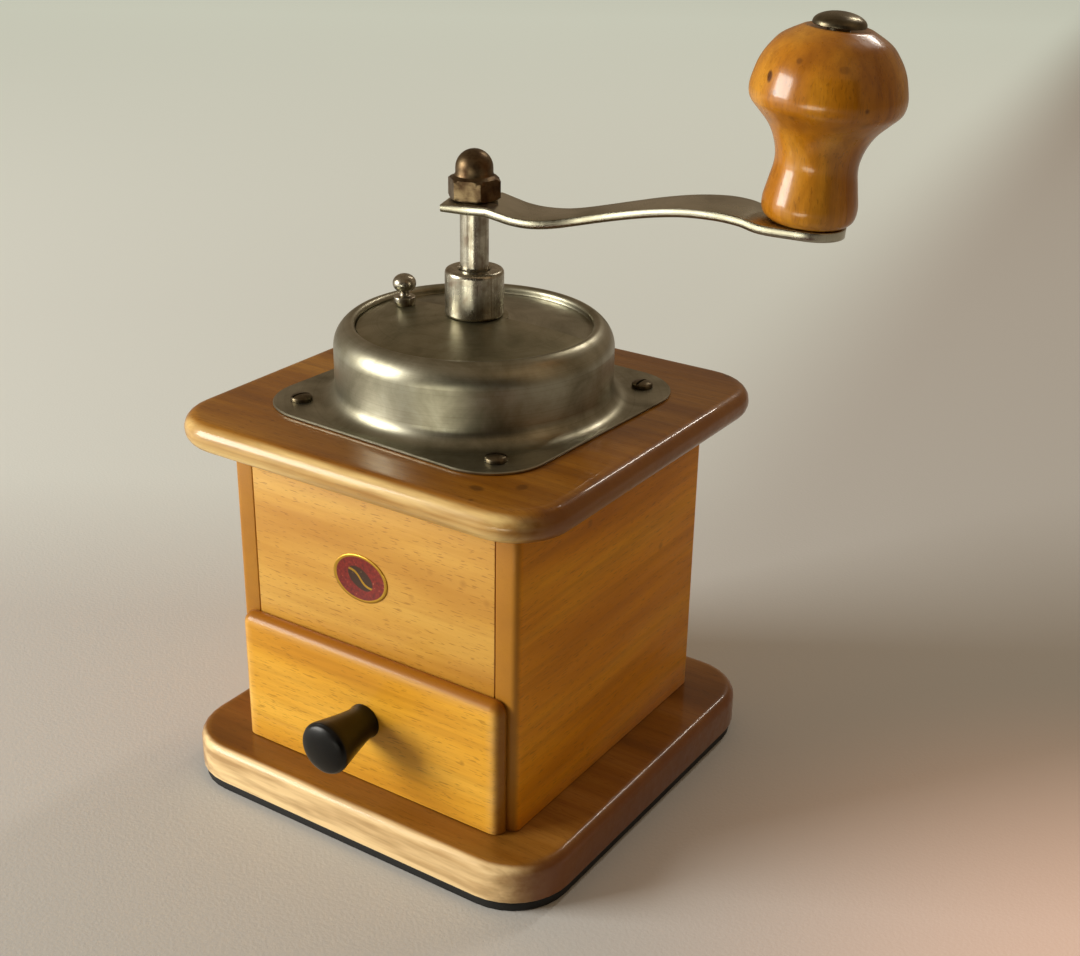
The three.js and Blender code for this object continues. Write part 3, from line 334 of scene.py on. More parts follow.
# Joins rings of equally many points, in millimetres, into a skin, each ring with its share of edge wear and
# painted highlight
def loft(rings, wearAndSheen=None, capEnds=True, closeLoop=False):
    shape = bmesh.new()
    layer = shape.verts.layers.float.new("edgeWearAndSheen")
    made = []
    for index, ring in enumerate(rings):
        row = [shape.verts.new(Vector(point) * mm) for point in ring]
        for vert in row:
            vert[layer] = wearAndSheen[index] if wearAndSheen else 0.0
        made.append(row)
    pairs = list(zip(made, made[1:]))
    if closeLoop:
        pairs.append((made[-1], made[0]))
    for lower, upper in pairs:
        for i in range(len(lower)):
            j = (i + 1) % len(lower)
            shape.faces.new((lower[i], lower[j], upper[j], upper[i]))
    if capEnds:
        shape.faces.new(list(reversed(made[0])))
        shape.faces.new(made[-1])
    return shape


# An upright block on an outline
def prism(outline, bottom, top):
    return loft([[(x, y, height) for x, y in outline] for height in (bottom, top)])


# An outline of (across, up, radius) corners, each rounded by its radius
def filleted(corners, steps=6):
    line = []
    for index, (across, up, radius) in enumerate(corners):
        here = Vector((across, up))
        if radius <= 0 or index in (0, len(corners) - 1):
            line.append((across, up))
            continue
        toBefore = Vector(corners[index - 1][:2]) - here
        toAfter = Vector(corners[index + 1][:2]) - here
        half = toBefore.angle(toAfter) / 2
        reach = min(radius / math.tan(half), 0.49 * toBefore.length, 0.49 * toAfter.length)
        start = here + toBefore.normalized() * reach
        end = here + toAfter.normalized() * reach
        for step in range(steps + 1):
            share = step / steps
            line.append(tuple((1 - share) ** 2 * start + 2 * share * (1 - share) * here + share ** 2 * end))
    return line


def polar(radius, turn, centre=(0, 0)):
    return centre[0] + radius * math.cos(turn), centre[1] + radius * math.sin(turn)


# Points along an arc, which is part of an oval where its height has a radius of its own
def arcLine(centre, radius, start, end, steps=8, upRadius=None):
    turns = [math.radians(start + (end - start) * i / steps) for i in range(steps + 1)]
    return [(centre[0] + radius * math.cos(t), centre[1] + (upRadius or radius) * math.sin(t)) for t in turns]


def circleRing(radius, height, sides, centre=(0, 0)):
    return [(*polar(radius, 2 * math.pi * i / sides, centre), height) for i in range(sides)]


# A ring's sector, out along one radius and back along the other
def sector(there, back, turns):
    return [polar(there, t) for t in turns] + [polar(back, t) for t in reversed(turns)]


# A shape turned about a vertical axis, where points on the axis become poles
def turnedShape(line, sides=96, centre=(0, 0), closeLoop=False):
    rings = [circleRing(max(radius, poleRadius), height, sides, centre) for radius, height in line]
    shape = loft(rings, capEnds=not closeLoop, closeLoop=closeLoop)
    bmesh.ops.remove_doubles(shape, verts=shape.verts, dist=mergeReach * mm)
    return shape


def boardRing(low, high, radii, inset, height, steps=8):
    points = []
    for (sideX, sideY, start), radius in zip(quarters, radii):
        corner = max(radius, inset + 0.05)
        centre = ((high if sideX > 0 else low)[0] - sideX * corner,
                  (high if sideY > 0 else low)[1] - sideY * corner)
        points += [(*point, height) for point in arcLine(centre, corner - inset, start, start + 90, steps)]
    return points


# A flat board with rounded corners, and its lower and upper edges rounded by their radii.
# A wide round edge is worn, and painted with highlight, most at its middle, and a fine one evenly.
def boardShape(low, high, radii, lowerEdge, upperEdge, steps=7, sideWearAndSheen=0.2):
    flat = 1.2  # from a rounded edge to the flat face's own ring
    rings, wearAndSheen = [boardRing(low, high, radii, lowerEdge + flat, low[2])], [0.0]
    for step in range(steps + 1):
        turn = math.radians(90 * step / steps)
        rings.append(boardRing(low, high, radii, lowerEdge * (1 - math.sin(turn)),
                               low[2] + lowerEdge * (1 - math.cos(turn))))
        wearAndSheen.append(0.4 + 0.6 * math.sin(math.pi * step / steps) if lowerEdge > 1 else sideWearAndSheen)
    for step in range(steps + 1):
        turn = math.radians(90 * step / steps)
        rings.append(boardRing(low, high, radii, upperEdge * (1 - math.cos(turn)),
                               high[2] - upperEdge * (1 - math.sin(turn))))
        wearAndSheen.append(0.35 + 0.65 * math.sin(math.pi * (step + 1) / (steps + 1)) if upperEdge > 1 else 0.2)
    return loft(rings + [boardRing(low, high, radii, upperEdge + flat, high[2])], wearAndSheen + [0.0])


def nodeCorners(node):
    low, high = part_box(node)
    return [v / mm for v in low], [v / mm for v in high]


# The shape less the cutter, both closed
def cutWith(shape, cutter):
    holders = []
    for part in (shape, cutter):
        bmesh.ops.recalc_face_normals(part, faces=part.faces)
        holders.append(addObject("cutting", meshFrom("cutting", part)))
    knife = holders[0].modifiers.new("cut", "BOOLEAN")
    knife.operation, knife.object, knife.solver = "DIFFERENCE", holders[1], "EXACT"
    result = bmesh.new()
    result.from_mesh(holders[0].evaluated_get(bpy.context.evaluated_depsgraph_get()).data)
    for holder in holders:
        mesh = holder.data
        bpy.data.objects.remove(holder)
        bpy.data.meshes.remove(mesh)
    return result


# Materials

def alongAxis(axis, along, across):
    scale = [1 / (across * mm)] * 3
    scale["XYZ".index(axis)] = 1 / (along * mm)
    return tuple(scale)


# The patterns in beech: length, width, detail, offset and distortion
beechGrain = {
    "bands": (110, 15, 2, 1.7, 0.0),  # growth bands
    "rings": (75, 2.5, 3, 5.1, 0.3),  # year rings
    "fibres": (9, 0.5, 2, 9.3, 0.0),  # coarser than real ones, so that they show
    "flecks": (3.6, 0.42, 1, 14.9, 0.0),  # the short rays that beech is known by
    # The rub streaks also break up the painted highlight on the front edges
    "rub": (30, 3.2, 3, 21.0, 0.0),  # streaks in which the lacquer wears
}
beechWave = 4
# Where each layer starts and where it is full, in the values of its pattern
beechSpans = {
    "rings": (0.45, 0.7), "fibres": (0.4, 0.75), "bruises": (0.075, 0.03), "marks": (1.35, 0.85),
    "endGrain": (0.25, 0.85), "rub": (0.35, 0.62), "front": (-0.3, -0.75), "upFacingDarkening": (0.15, 0.75),
    "gloss": (0.3, 0.7), "fleckWidth": 0.07,
}


# Beech, planed or turned, under an old amber lacquer: warm bands, short dark ray flecks, a wet gloss
def lacqueredBeech(name, look):
    material, tree, shader, coordinates = newMaterial(name)
    place, spans = coordinates["Object"], beechSpans

    def grainNoise(kind):
        along, across, detail, offset, distortion = beechGrain[kind]
        mapped = addNode(tree, "ShaderNodeMapping", {
            "Vector": place, "Scale": alongAxis(look["grain"], along, across),
            "Location": (offset + look["seed"], offset * 2 - look["seed"], offset),
        })
        return addNode(tree, "ShaderNodeTexNoise", {
            "Vector": mapped, "Scale": 1.0, "Detail": detail, "Roughness": 0.55, "Distortion": distortion,
        })

    bands, rings, fibres, flecks, rub = (grainNoise(kind) for kind in beechGrain)
    colour = addNode(tree, "ShaderNodeValToRGB", {0: bands}, stops=[
        (0.3, look["dark"]), (0.48, look["middle"]), (0.66, look["light"]),
    ])
    colour = layOver(tree, colour, rings, spans["rings"], look["rings"], look["ringColour"])[0]
    colour = layOver(tree, colour, fibres, spans["fibres"], look["fibres"], look["dark"])[0]
    fleckSpan = (look["fleckLimit"], look["fleckLimit"] + spans["fleckWidth"])
    colour, fleckMask = layOver(tree, colour, flecks, fleckSpan, look["flecks"], look["fleckColour"])
    # Small bruises under the lacquer, about one in each cell of bruiseSpacing
    bruises = addNode(tree, "ShaderNodeTexVoronoi", {
        "Vector": place, "Scale": 1 / (look["bruiseSpacing"] * mm), "Randomness": 1.0,
    })
    colour = layOver(tree, colour, bruises, spans["bruises"], look["bruises"], look["fleckColour"])[0]
    # Single knots and stains, each at its own place on the wood, with edges that follow the fibres
    for centre, halfSize, lean, strength in look["marks"]:
        away = seenFromSpot(tree, place, [v * mm for v in centre], [v * mm for v in halfSize], lean)[1]
        away = addNode(tree, "ShaderNodeMath", (fibres, 0.5, away), operation="MULTIPLY_ADD")
        colour = layOver(tree, colour, away, spans["marks"], strength, look["fleckColour"])[0]
    # End grain drinks the lacquer and goes dark
    normal = addNode(tree, "ShaderNodeSeparateXYZ", {0: coordinates["Normal"]}).outputs
    facing = addNode(tree, "ShaderNodeMath", {0: normal["XYZ".index(look["grain"])]}, operation="ABSOLUTE")
    colour, endMask = layOver(tree, colour, facing, spans["endGrain"], look["endGrain"], look["endColour"],
                              "SMOOTHSTEP")
    # Lacquer worn thin and pale on the rounded edges that face the front, in streaks, together with a painted
    # highlight on the same edges
    wornAndSheen = addNode(tree, "ShaderNodeMapRange", {
        "Value": rub, "From Min": spans["rub"][0], "From Max": spans["rub"][1],
        "To Min": look["wearAndSheen"] * 0.45, "To Max": look["wearAndSheen"],
    })
    # Only faces towards the front, where the window light falls, take it: there the pale is partly a painted
    # highlight
    front = addNode(tree, "ShaderNodeMapRange", {
        "Value": normal["Y"], "From Min": spans["front"][0], "From Max": spans["front"][1],
    }, interpolation_type="SMOOTHSTEP")
    edge = addNode(tree, "ShaderNodeAttribute", attribute_name="edgeWearAndSheen").outputs["Fac"]
    longSide = addNode(tree, "ShaderNodeMath", (1.0, endMask), operation="SUBTRACT")
    for mask in (front, edge, longSide):
        wornAndSheen = addNode(tree, "ShaderNodeMath", (wornAndSheen, mask), operation="MULTIPLY")
    colour = addNode(tree, "ShaderNodeMix", {0: wornAndSheen, 6: colour, 7: linear(look["wornAndSheenColour"])},
                     data_type="RGBA")
    # Faces that look upward are darker brown, the more so the further they face up
    colour = layOver(tree, colour, normal["Z"], spans["upFacingDarkening"], look["upFacingDarkening"], look["ringColour"],
                     "SMOOTHSTEP")[0]
    gloss = addNode(tree, "ShaderNodeMapRange", {
        "Value": rub, "From Min": spans["gloss"][0], "From Max": spans["gloss"][1],
        "To Min": look["roughness"] - 0.06, "To Max": look["roughness"] + 0.08,
    })
    coat = addNode(tree, "ShaderNodeMapRange", {
        "Value": wornAndSheen, "To Min": look["coat"], "To Max": look["coat"] * 0.25,
    })
    # The lacquer swells over year rings and fibres, sinks over flecks and lies in slow waves
    waves = addNode(tree, "ShaderNodeTexNoise", {
        "Vector": place, "Scale": 1 / (beechWave * mm), "Detail": 1.0,
    })
    relief = rings
    for pattern, height in ((fibres, 0.25), (fleckMask, -0.3), (waves, look["waves"])):
        relief = addNode(tree, "ShaderNodeMath", (pattern, height, relief), operation="MULTIPLY_ADD")
    bump = addNode(tree, "ShaderNodeBump", {
        "Height": relief, "Strength": look["relief"], "Distance": 0.25 * mm,
    })
    setInputs(tree, shader, {
        "Base Color": colour, "Roughness": gloss, "IOR": 1.5, "Specular IOR Level": look["shine"],
        "Coat Weight": coat, "Coat Roughness": look["coatRoughness"], "Normal": bump,
    })
    return material


# A metal skin with tarnish in soft clouds, fine lines of its making and small pits
def agedMetal(name, look):
    material, tree, shader, coordinates = newMaterial(name)
    place = coordinates["Object"]
    clouds = addNode(tree, "ShaderNodeTexNoise", {
        "Vector": place, "Scale": 1 / (look["cloudSize"] * mm), "Detail": 5.0, "Roughness": 0.6,
        "Distortion": 0.4,
    })
    colour = addNode(tree, "ShaderNodeValToRGB", {0: clouds}, stops=[
        (0.32, look["dark"]), (0.5, look["middle"]), (0.68, look["light"]),
    ])
    if look["lines"] == "round":  # turned or pressed: the lines run round the Z axis
        parts = addNode(tree, "ShaderNodeSeparateXYZ", {0: place}).outputs
        flat = addNode(tree, "ShaderNodeCombineXYZ", (parts["X"], parts["Y"]))
        out = addNode(tree, "ShaderNodeVectorMath", {0: flat}, operation="LENGTH")
        lineSpace = addNode(tree, "ShaderNodeCombineXYZ", (out, parts["Z"]))
        lineScale = (1 / (look["lineWidth"] * mm),) * 3
    else:
        lineSpace = addNode(tree, "ShaderNodeVectorRotate", {
            "Vector": place, "Angle": math.radians(-look["turn"]),
        }, rotation_type="Z_AXIS")
        lineScale = alongAxis(look["lines"], look["lineLength"], look["lineWidth"])
        if look["turn"]:  # a bent bar, so the lines follow its faces and its edges stay plain
            lineScale = (lineScale[0], lineScale[1], lineScale[0])
    mapped = addNode(tree, "ShaderNodeMapping", {"Vector": lineSpace, "Scale": lineScale})
    lines = addNode(tree, "ShaderNodeTexNoise", {
        "Vector": mapped, "Scale": 1.0, "Detail": 2.0, "Roughness": 0.6,
    })
    colour, streaks = layOver(tree, colour, lines, (0.5, 0.75), look["streaks"], look["stain"])
    spots = addNode(tree, "ShaderNodeTexNoise", {
        "Vector": place, "Scale": 1 / (look["pitSize"] * mm), "Detail": 3.0, "Roughness": 0.7,
    })
    colour, pits = layOver(tree, colour, spots, (0.66, 0.74), look["pits"], look["stain"])
    rough = addNode(tree, "ShaderNodeMapRange", {
        "Value": clouds, "From Min": 0.3, "From Max": 0.7,
        "To Min": look["roughness"] + 0.07, "To Max": look["roughness"] - 0.05,
    })
    rough = addNode(tree, "ShaderNodeMath", (streaks, 0.15, rough), operation="MULTIPLY_ADD")
    relief = addNode(tree, "ShaderNodeMath", (pits, -1.0, lines), operation="MULTIPLY_ADD")
    bump = addNode(tree, "ShaderNodeBump", {
        "Height": relief, "Strength": look["relief"], "Distance": 0.08 * mm,
    })
    setInputs(tree, shader, {"Base Color": colour, "Roughness": rough, "Metallic": 1.0, "Normal": bump})
    return material


# Rubber or moulded resin: one dark body colour, dust or haze on it, and a fine grain
def dullSolid(name, look):
    material, tree, shader, coordinates = newMaterial(name)
    place = coordinates["Object"]
    haze = addNode(tree, "ShaderNodeTexNoise", {
        "Vector": place, "Scale": 1 / (look["hazeSize"] * mm), "Detail": 4.0, "Roughness": 0.6,
    })
    colour = addNode(tree, "ShaderNodeValToRGB", {0: haze}, stops=[
        (0.35, look["dark"]), (0.75, look["light"]),
    ])
    rough = addNode(tree, "ShaderNodeMapRange", {
        "Value": haze, "From Min": 0.3, "From Max": 0.75,
        "To Min": look["roughness"], "To Max": look["roughness"] + look["hazeRoughness"],
    })
    fine = addNode(tree, "ShaderNodeTexNoise", {
        "Vector": place, "Scale": 1 / (look["grainSize"] * mm), "Detail": 2.0,
    })
    bump = addNode(tree, "ShaderNodeBump", {"Height": fine, "Strength": look["relief"], "Distance": 0.1 * mm})
    setInputs(tree, shader, {
        "Base Color": colour, "Roughness": rough, "IOR": look["ior"], "Specular IOR Level": look["shine"],
        "Normal": bump,
    })
    return material


beechLook = {
    "grain": "X", "seed": 0.0,
    "light": "#dcab4c", "middle": "#d39c3c", "dark": "#c0862d",
    "ringColour": "#b5761f", "rings": 0.28, "fibres": 0.28,
    "fleckColour": "#8a5510", "flecks": 0.52, "fleckLimit": 0.62,
    "bruises": 0.35, "bruiseSpacing": 21, "marks": [],
    "endColour": "#84561a", "endGrain": 0.8,
    "wearAndSheen": 0.0, "wornAndSheenColour": "#f3d29a", "upFacingDarkening": 0.0,
    "roughness": 0.38, "coat": 0.15, "coatRoughness": 0.14, "shine": 0.5, "relief": 0.2, "waves": 0.0,
}
# Straw yellow with clear flecks
panelBeech = lacqueredBeech("panelBeechLacquered", {
    **beechLook, "seed": 3.0, "light": "#e0b153", "middle": "#d8a344", "dark": "#c48b30",
    "fleckColour": "#94580f", "flecks": 0.58,
})
# The brightest wood, darker brown on the upward faces of its upper edge
frontBeech = lacqueredBeech("drawerFrontBeechLacquered", {
    **beechLook, "seed": 7.0, "light": "#f0b945", "middle": "#e5a833", "dark": "#d09026",
    "coatRoughness": 0.1, "shine": 0.2, "flecks": 0.4, "bruises": 0.5, "bruiseSpacing": 16,
    "wearAndSheen": 0.3, "upFacingDarkening": 0.85, "ringColour": "#96590f", "endColour": "#8a520c", "waves": 0.6,
})
# Orange and nearly without gloss
sideBeech = lacqueredBeech("sideBoardBeechLacquered", {
    **beechLook, "seed": 12.0, "grain": "Y", "light": "#f7ac1e", "middle": "#ec9b12", "dark": "#d0820c",
    "ringColour": "#a6660d", "fleckColour": "#7c4a08", "flecks": 0.3, "endColour": "#a2702a",
    "endGrain": 0.85, "coat": 0.05, "shine": 0.2,
})
# Dark amber with a wet gloss, rubbed pale along the front edge, where a painted highlight lies as well
topBeech = lacqueredBeech("topBoardBeechAmberLacquered", {
    **beechLook, "seed": 21.0, "light": "#b07823", "middle": "#986012", "dark": "#7b4808",
    "ringColour": "#74430a", "rings": 0.45, "fleckColour": "#452506", "flecks": 0.4,
    "endColour": "#8a5312", "wearAndSheen": 1.0, "wornAndSheenColour": "#f0d08a",
    "roughness": 0.34, "shine": 0.25, "coat": 0.5, "coatRoughness": 0.025,
    "bruises": 0.6, "bruiseSpacing": 14, "waves": 0.8,
    "marks": [((58.5, -58.5, 114.5), (3.6, 3.6, 2.6), 0, 0.8), ((-20, -61, 114), (5, 3, 2), 0, 0.3),
              ((38, -52, 117.6), (2.4, 1.6, 2.0), 0, 0.6), ((47, -45, 117.6), (1.5, 2.2, 2.0), 0, 0.5)],
})
# The same amber, with paler and stronger wear and painted highlight along the front edge
baseBeech = lacqueredBeech("baseBoardBeechAmberLacquered", {
    **beechLook, "seed": 33.0, "light": "#a87631", "middle": "#915f1e", "dark": "#774a10",
    "ringColour": "#6c400c", "rings": 0.35, "fleckColour": "#4a2a08", "flecks": 0.3,
    "endColour": "#7c4309", "endGrain": 0.85, "wearAndSheen": 1.4, "wornAndSheenColour": "#f8d9a2",
    "roughness": 0.34, "shine": 0.25, "coat": 0.45, "coatRoughness": 0.03,
    "bruises": 0.4, "bruiseSpacing": 22, "waves": 0.8,
})
# Red brown and bruised, its light broken up by waves in the lacquer
knobBeech = lacqueredBeech("crankKnobBeechTurned", {
    **beechLook, "seed": 41.0, "grain": "Z", "light": "#d6982f", "middle": "#bd7914", "dark": "#985908",
    "ringColour": "#7a4004", "rings": 0.4, "fleckColour": "#4d2604", "flecks": 0.3,
    "endColour": "#a8691e", "endGrain": 0.35,
    "roughness": 0.3, "shine": 0.3, "coat": 0.5, "coatRoughness": 0.12, "bruises": 0.7, "bruiseSpacing": 11,
    "waves": 2.2,
    "marks": [
        ((79.4, 12.6, 215.0), (1.0, 1.0, 2.1), -15, 0.95), ((87.0, 9.7, 205.4), (1.9, 1.9, 1.0), 25, 0.9),
        ((86.9, 12.8, 219.3), (0.9, 0.9, 0.9), 0, 0.6), ((82.0, 10.6, 211.5), (0.7, 0.7, 0.8), 0, 0.5),
        ((97.7, 15.0, 217.8), (1.6, 1.6, 1.0), 0, 0.4), ((103.7, 18.3, 203.8), (2.2, 2.2, 1.6), 0, 0.5),
    ],
})
# Dry, pale and matt
rawBeech = lacqueredBeech("drawerBoxBeechPlain", {
    **beechLook, "seed": 52.0, "light": "#e2bf8c", "middle": "#d6ae78", "dark": "#c39a63",
    "ringColour": "#b48750", "fleckColour": "#8d6437", "endColour": "#b98e5a", "endGrain": 0.5,
    "roughness": 0.6, "coat": 0.0, "relief": 0.4,
})

metalLook = {
    "light": "#b0ae9d", "middle": "#989582", "dark": "#797562", "stain": "#4e4029",
    "cloudSize": 16, "lines": "round", "turn": 0, "lineWidth": 0.35, "lineLength": 30, "streaks": 0.2,
    "pits": 0.35, "pitSize": 0.55, "roughness": 0.36, "relief": 0.12,
}
# A soft greenish satin that draws long highlights
domeNickel = agedMetal("domeNickelDrawnSatin", metalLook)
# Duller and more pitted than the dome
lidNickel = agedMetal("lidNickelPressedDull", {
    **metalLook, "light": "#a19d86", "middle": "#8f8b73", "dark": "#77735b", "roughness": 0.38,
    "cloudSize": 11, "pits": 0.5,
})
# Bright, with brown stains in the marks of its making
turnedSteel = agedMetal("collarSteelTurnedWorn", {
    **metalLook, "light": "#c8c5b6", "middle": "#aca898", "dark": "#85796a", "stain": "#54381c",
    "cloudSize": 4.5, "lines": "Z", "lineWidth": 0.8, "streaks": 0.5, "pits": 0.6, "roughness": 0.27,
})
# Smooth and pale, so the arm carries clear highlights
armNickel = agedMetal("crankArmNickelSatin", {
    **metalLook, "light": "#c6c4b4", "middle": "#b3b09e", "dark": "#948f7c", "lines": "X",
    "turn": 18.5, "pits": 0.15, "lineWidth": 0.3, "roughness": 0.26, "cloudSize": 20, "streaks": 0.15,
})
# Brown, with a dim metal shine
brownedBrass = agedMetal("nutBrassBrowned", {
    **metalLook, "light": "#7d6d52", "middle": "#63523c", "dark": "#443222", "stain": "#2b1a0e",
    "cloudSize": 5, "streaks": 0.3, "pits": 0.7, "roughness": 0.4,
})
# Grey brown, and still a mirror for the window
pinSteel = agedMetal("pinCapNickelDulled", {
    **metalLook, "light": "#8a8370", "middle": "#716a57", "dark": "#544b3a", "stain": "#2b2013",
    "cloudSize": 5, "pits": 0.5, "roughness": 0.3,
})
# Dark heads, pitted by rust
screwSteel = agedMetal("screwSteelDarkened", {
    **metalLook, "light": "#7d7460", "middle": "#665c49", "dark": "#494030", "stain": "#2b2013",
    "cloudSize": 2.5, "lineWidth": 0.2, "pits": 0.8, "roughness": 0.36,
})
# Nearly black and grainy
millIron = agedMetal("millIronCastOiled", {
    **metalLook, "light": "#4a4741", "middle": "#3b3833", "dark": "#2b2825", "stain": "#231a12",
    "cloudSize": 6, "lineWidth": 1.2, "pits": 1.0, "roughness": 0.55, "relief": 0.6,
})
# Plain grey, with fine lines from grinding
burrSteel = agedMetal("burrSteelHardened", {
    **metalLook, "light": "#84807a", "middle": "#6d6963", "dark": "#504c46", "stain": "#37291a",
    "cloudSize": 4, "lineWidth": 0.3, "pits": 0.6, "roughness": 0.38, "relief": 0.3,
})
# Matt black with dust
blackRubber = dullSolid("padRubberBlack", {
    "dark": "#060605", "light": "#161512", "hazeSize": 5, "roughness": 0.6, "hazeRoughness": 0.25,
    "ior": 1.52, "shine": 0.5, "grainSize": 0.6, "relief": 0.5,
})
# Deep black with a soft shine
blackBakelite = dullSolid("drawerKnobBakelitePolished", {
    "dark": "#040404", "light": "#0d0c0a", "hazeSize": 6, "roughness": 0.26, "hazeRoughness": 0.14,
    "ior": 1.55, "shine": 0.25, "grainSize": 1.5, "relief": 0.08,
})


# An enamelled badge: a gold rim, dark red enamel and a coffee bean with a bright crease
def badgeEnamel(look):
    material, tree, shader, coordinates = newMaterial("badgeEnamelWorn")
    place = coordinates["Object"]
    scuffs = addNode(tree, "ShaderNodeTexNoise", {
        "Vector": place, "Scale": 1 / (look["scuffSize"] * mm), "Detail": 3.0, "Roughness": 0.65,
    })
    enamel = addNode(tree, "ShaderNodeValToRGB", {0: scuffs}, stops=[
        (0.35, look["enamelDark"]), (0.65, look["enamel"]),
    ])
    centre = [v * mm for v in look["centre"]]
    away = seenFromSpot(tree, place, centre, [v * mm for v in look["halfSize"]])[1]
    bean, beanAway = seenFromSpot(tree, place, centre, [v * mm for v in look["beanHalf"]], look["beanLean"])
    parts = addNode(tree, "ShaderNodeSeparateXYZ", {0: bean}).outputs
    wave = addNode(tree, "ShaderNodeMath", (parts["X"], 3.0), operation="MULTIPLY")
    wave = addNode(tree, "ShaderNodeMath", {0: wave}, operation="SINE")
    crease = addNode(tree, "ShaderNodeMath", (wave, 0.22, parts["Z"]), operation="MULTIPLY_ADD")
    crease = addNode(tree, "ShaderNodeMath", {0: crease}, operation="ABSOLUTE")
    colour, inBean = layOver(tree, enamel, beanAway, (1.03, 0.97), 1.0, look["beanColour"])
    colour, inCrease = layOver(tree, colour, crease, (0.14, 0.09), inBean, look["goldColour"])
    rimSpan = (look["rimFrom"], look["rimFrom"] + 0.02)
    colour, rim = layOver(tree, colour, away, rimSpan, 1.0, look["goldColour"])
    colour = layOver(tree, colour, scuffs, (0.66, 0.72), 1.0, look["scuffColour"])[0]
    metal = addNode(tree, "ShaderNodeMath", (rim, inCrease), operation="MAXIMUM")
    setInputs(tree, shader, {"Base Color": colour, "Metallic": metal, "Roughness": look["roughness"]})
    return material


# The middle number of each half size is its depth, which lets the pattern run straight through
badgeLook = {"centre": (-3.3, 0.0, 78.4), "halfSize": (9.5, 1000.0, 7.2), "thickness": 0.3, "sides": 72,
             "rimFrom": 0.88, "beanHalf": (4.6, 1000.0, 3.0), "beanLean": 28, "scuffSize": 0.9,
             "enamel": "#8c2216", "enamelDark": "#5e140e", "beanColour": "#3a2110",
             "goldColour": "#c49a3e", "scuffColour": "#a98a5a", "roughness": 0.38}
redEnamel = badgeEnamel(badgeLook)
print("materials are made")


# The wooden box

boxLook = {"padEdge": 0.4, "padInset": 0.8, "baseLowerEdge": 0.6, "baseUpperEdge": 3.2, "baseCorner": 18.5,
           "topEdge": 4.2, "topCorner": 17.0, "topHole": 26.8, "sideEdge": 2.5, "sharpEdge": 0.4,
           "panelEdge": 0.35}


def addBoard(name, node, radii, edges, steps, material, body="frame", sideWearAndSheen=0.2, hole=None):
    low, high = nodeCorners(node)
    board = boardShape(low, high, radii, *edges, steps, sideWearAndSheen)
    if hole:
        bottom, top = low[2] - 2, high[2] + 2
        board = cutWith(board, turnedShape([(0, bottom), (hole, bottom), (hole, top), (0, top)]))
    finishPiece(name, board, body, [node], material)


def addBox():
    look = boxLook
    side, sharp, panel = look["sideEdge"], look["sharpEdge"], look["panelEdge"]
    addBoard("rubberPad", "rubber_pad", [look["baseCorner"] - look["padInset"]] * 4, [look["padEdge"]] * 2, 3,
             blackRubber)
    addBoard("baseBoard", "base_board", [look["baseCorner"]] * 4,
             (look["baseLowerEdge"], look["baseUpperEdge"]), 8, baseBeech, sideWearAndSheen=0.85)
    addBoard("topBoard", "top_board", [look["topCorner"]] * 4, [look["topEdge"]] * 2, 8,
             topBeech, hole=look["topHole"])
    for name, node, radii, edge, beech in (
        ("leftSideBoard", "left_side_board", (sharp, side, side, sharp), sharp, sideBeech),
        ("rightSideBoard", "right_side_board", (side, sharp, sharp, side), sharp, sideBeech),
        ("frontPanel", "front_panel", [panel] * 4, panel, panelBeech),
        ("backPanel", "back_panel", [panel] * 4, panel, panelBeech),
    ):
        addBoard(name, node, radii, (edge, edge), 2, beech)


# A small oval badge lies on the front panel
def addBadge():
    look = badgeLook
    face = nodeCorners("front_panel")[0][1]
    thick = look["thickness"]
    turns = [2 * math.pi * i / look["sides"] for i in range(look["sides"])]
    rings = []
    for inset, out in ((0, 0), (0, thick * 0.6), (0.12, thick), (0.6, thick), (1.1, thick - 0.1)):
        rings.append([(look["centre"][0] + (look["halfSize"][0] - inset) * math.cos(turn), face - out,
                       look["centre"][2] + (look["halfSize"][2] - inset) * math.sin(turn)) for turn in turns])
    finishPiece("panelBadge", loft(rings), "frame", [], redEnamel, 50)


addBox()
addBadge()
print("the box is made")


# The drawer

drawerLook = {"lipThickness": 4.0, "edge": 3.3, "corner": 3.8, "insetHalf": 41.6, "insetTop": 52.8,
              "backEdge": 0.3, "boardCorner": 0.4, "boardEdges": (0.4, 0.6), "neck": 5.0, "neckHeight": 2.2,
              "rim": 7.8, "rimEdge": 0.7, "faceHeight": 2.6}


def frontRing(halfWidth, bottom, top, corner, depth, steps=8):
    points = [(-halfWidth, depth, bottom), (halfWidth, depth, bottom)]
    for side, start in ((1, 0), (-1, 90)):
        arc = arcLine((side * (halfWidth - corner), top - corner), corner, start, start + 90, steps)
        points += [(across, depth, up) for across, up in arc]
    return points


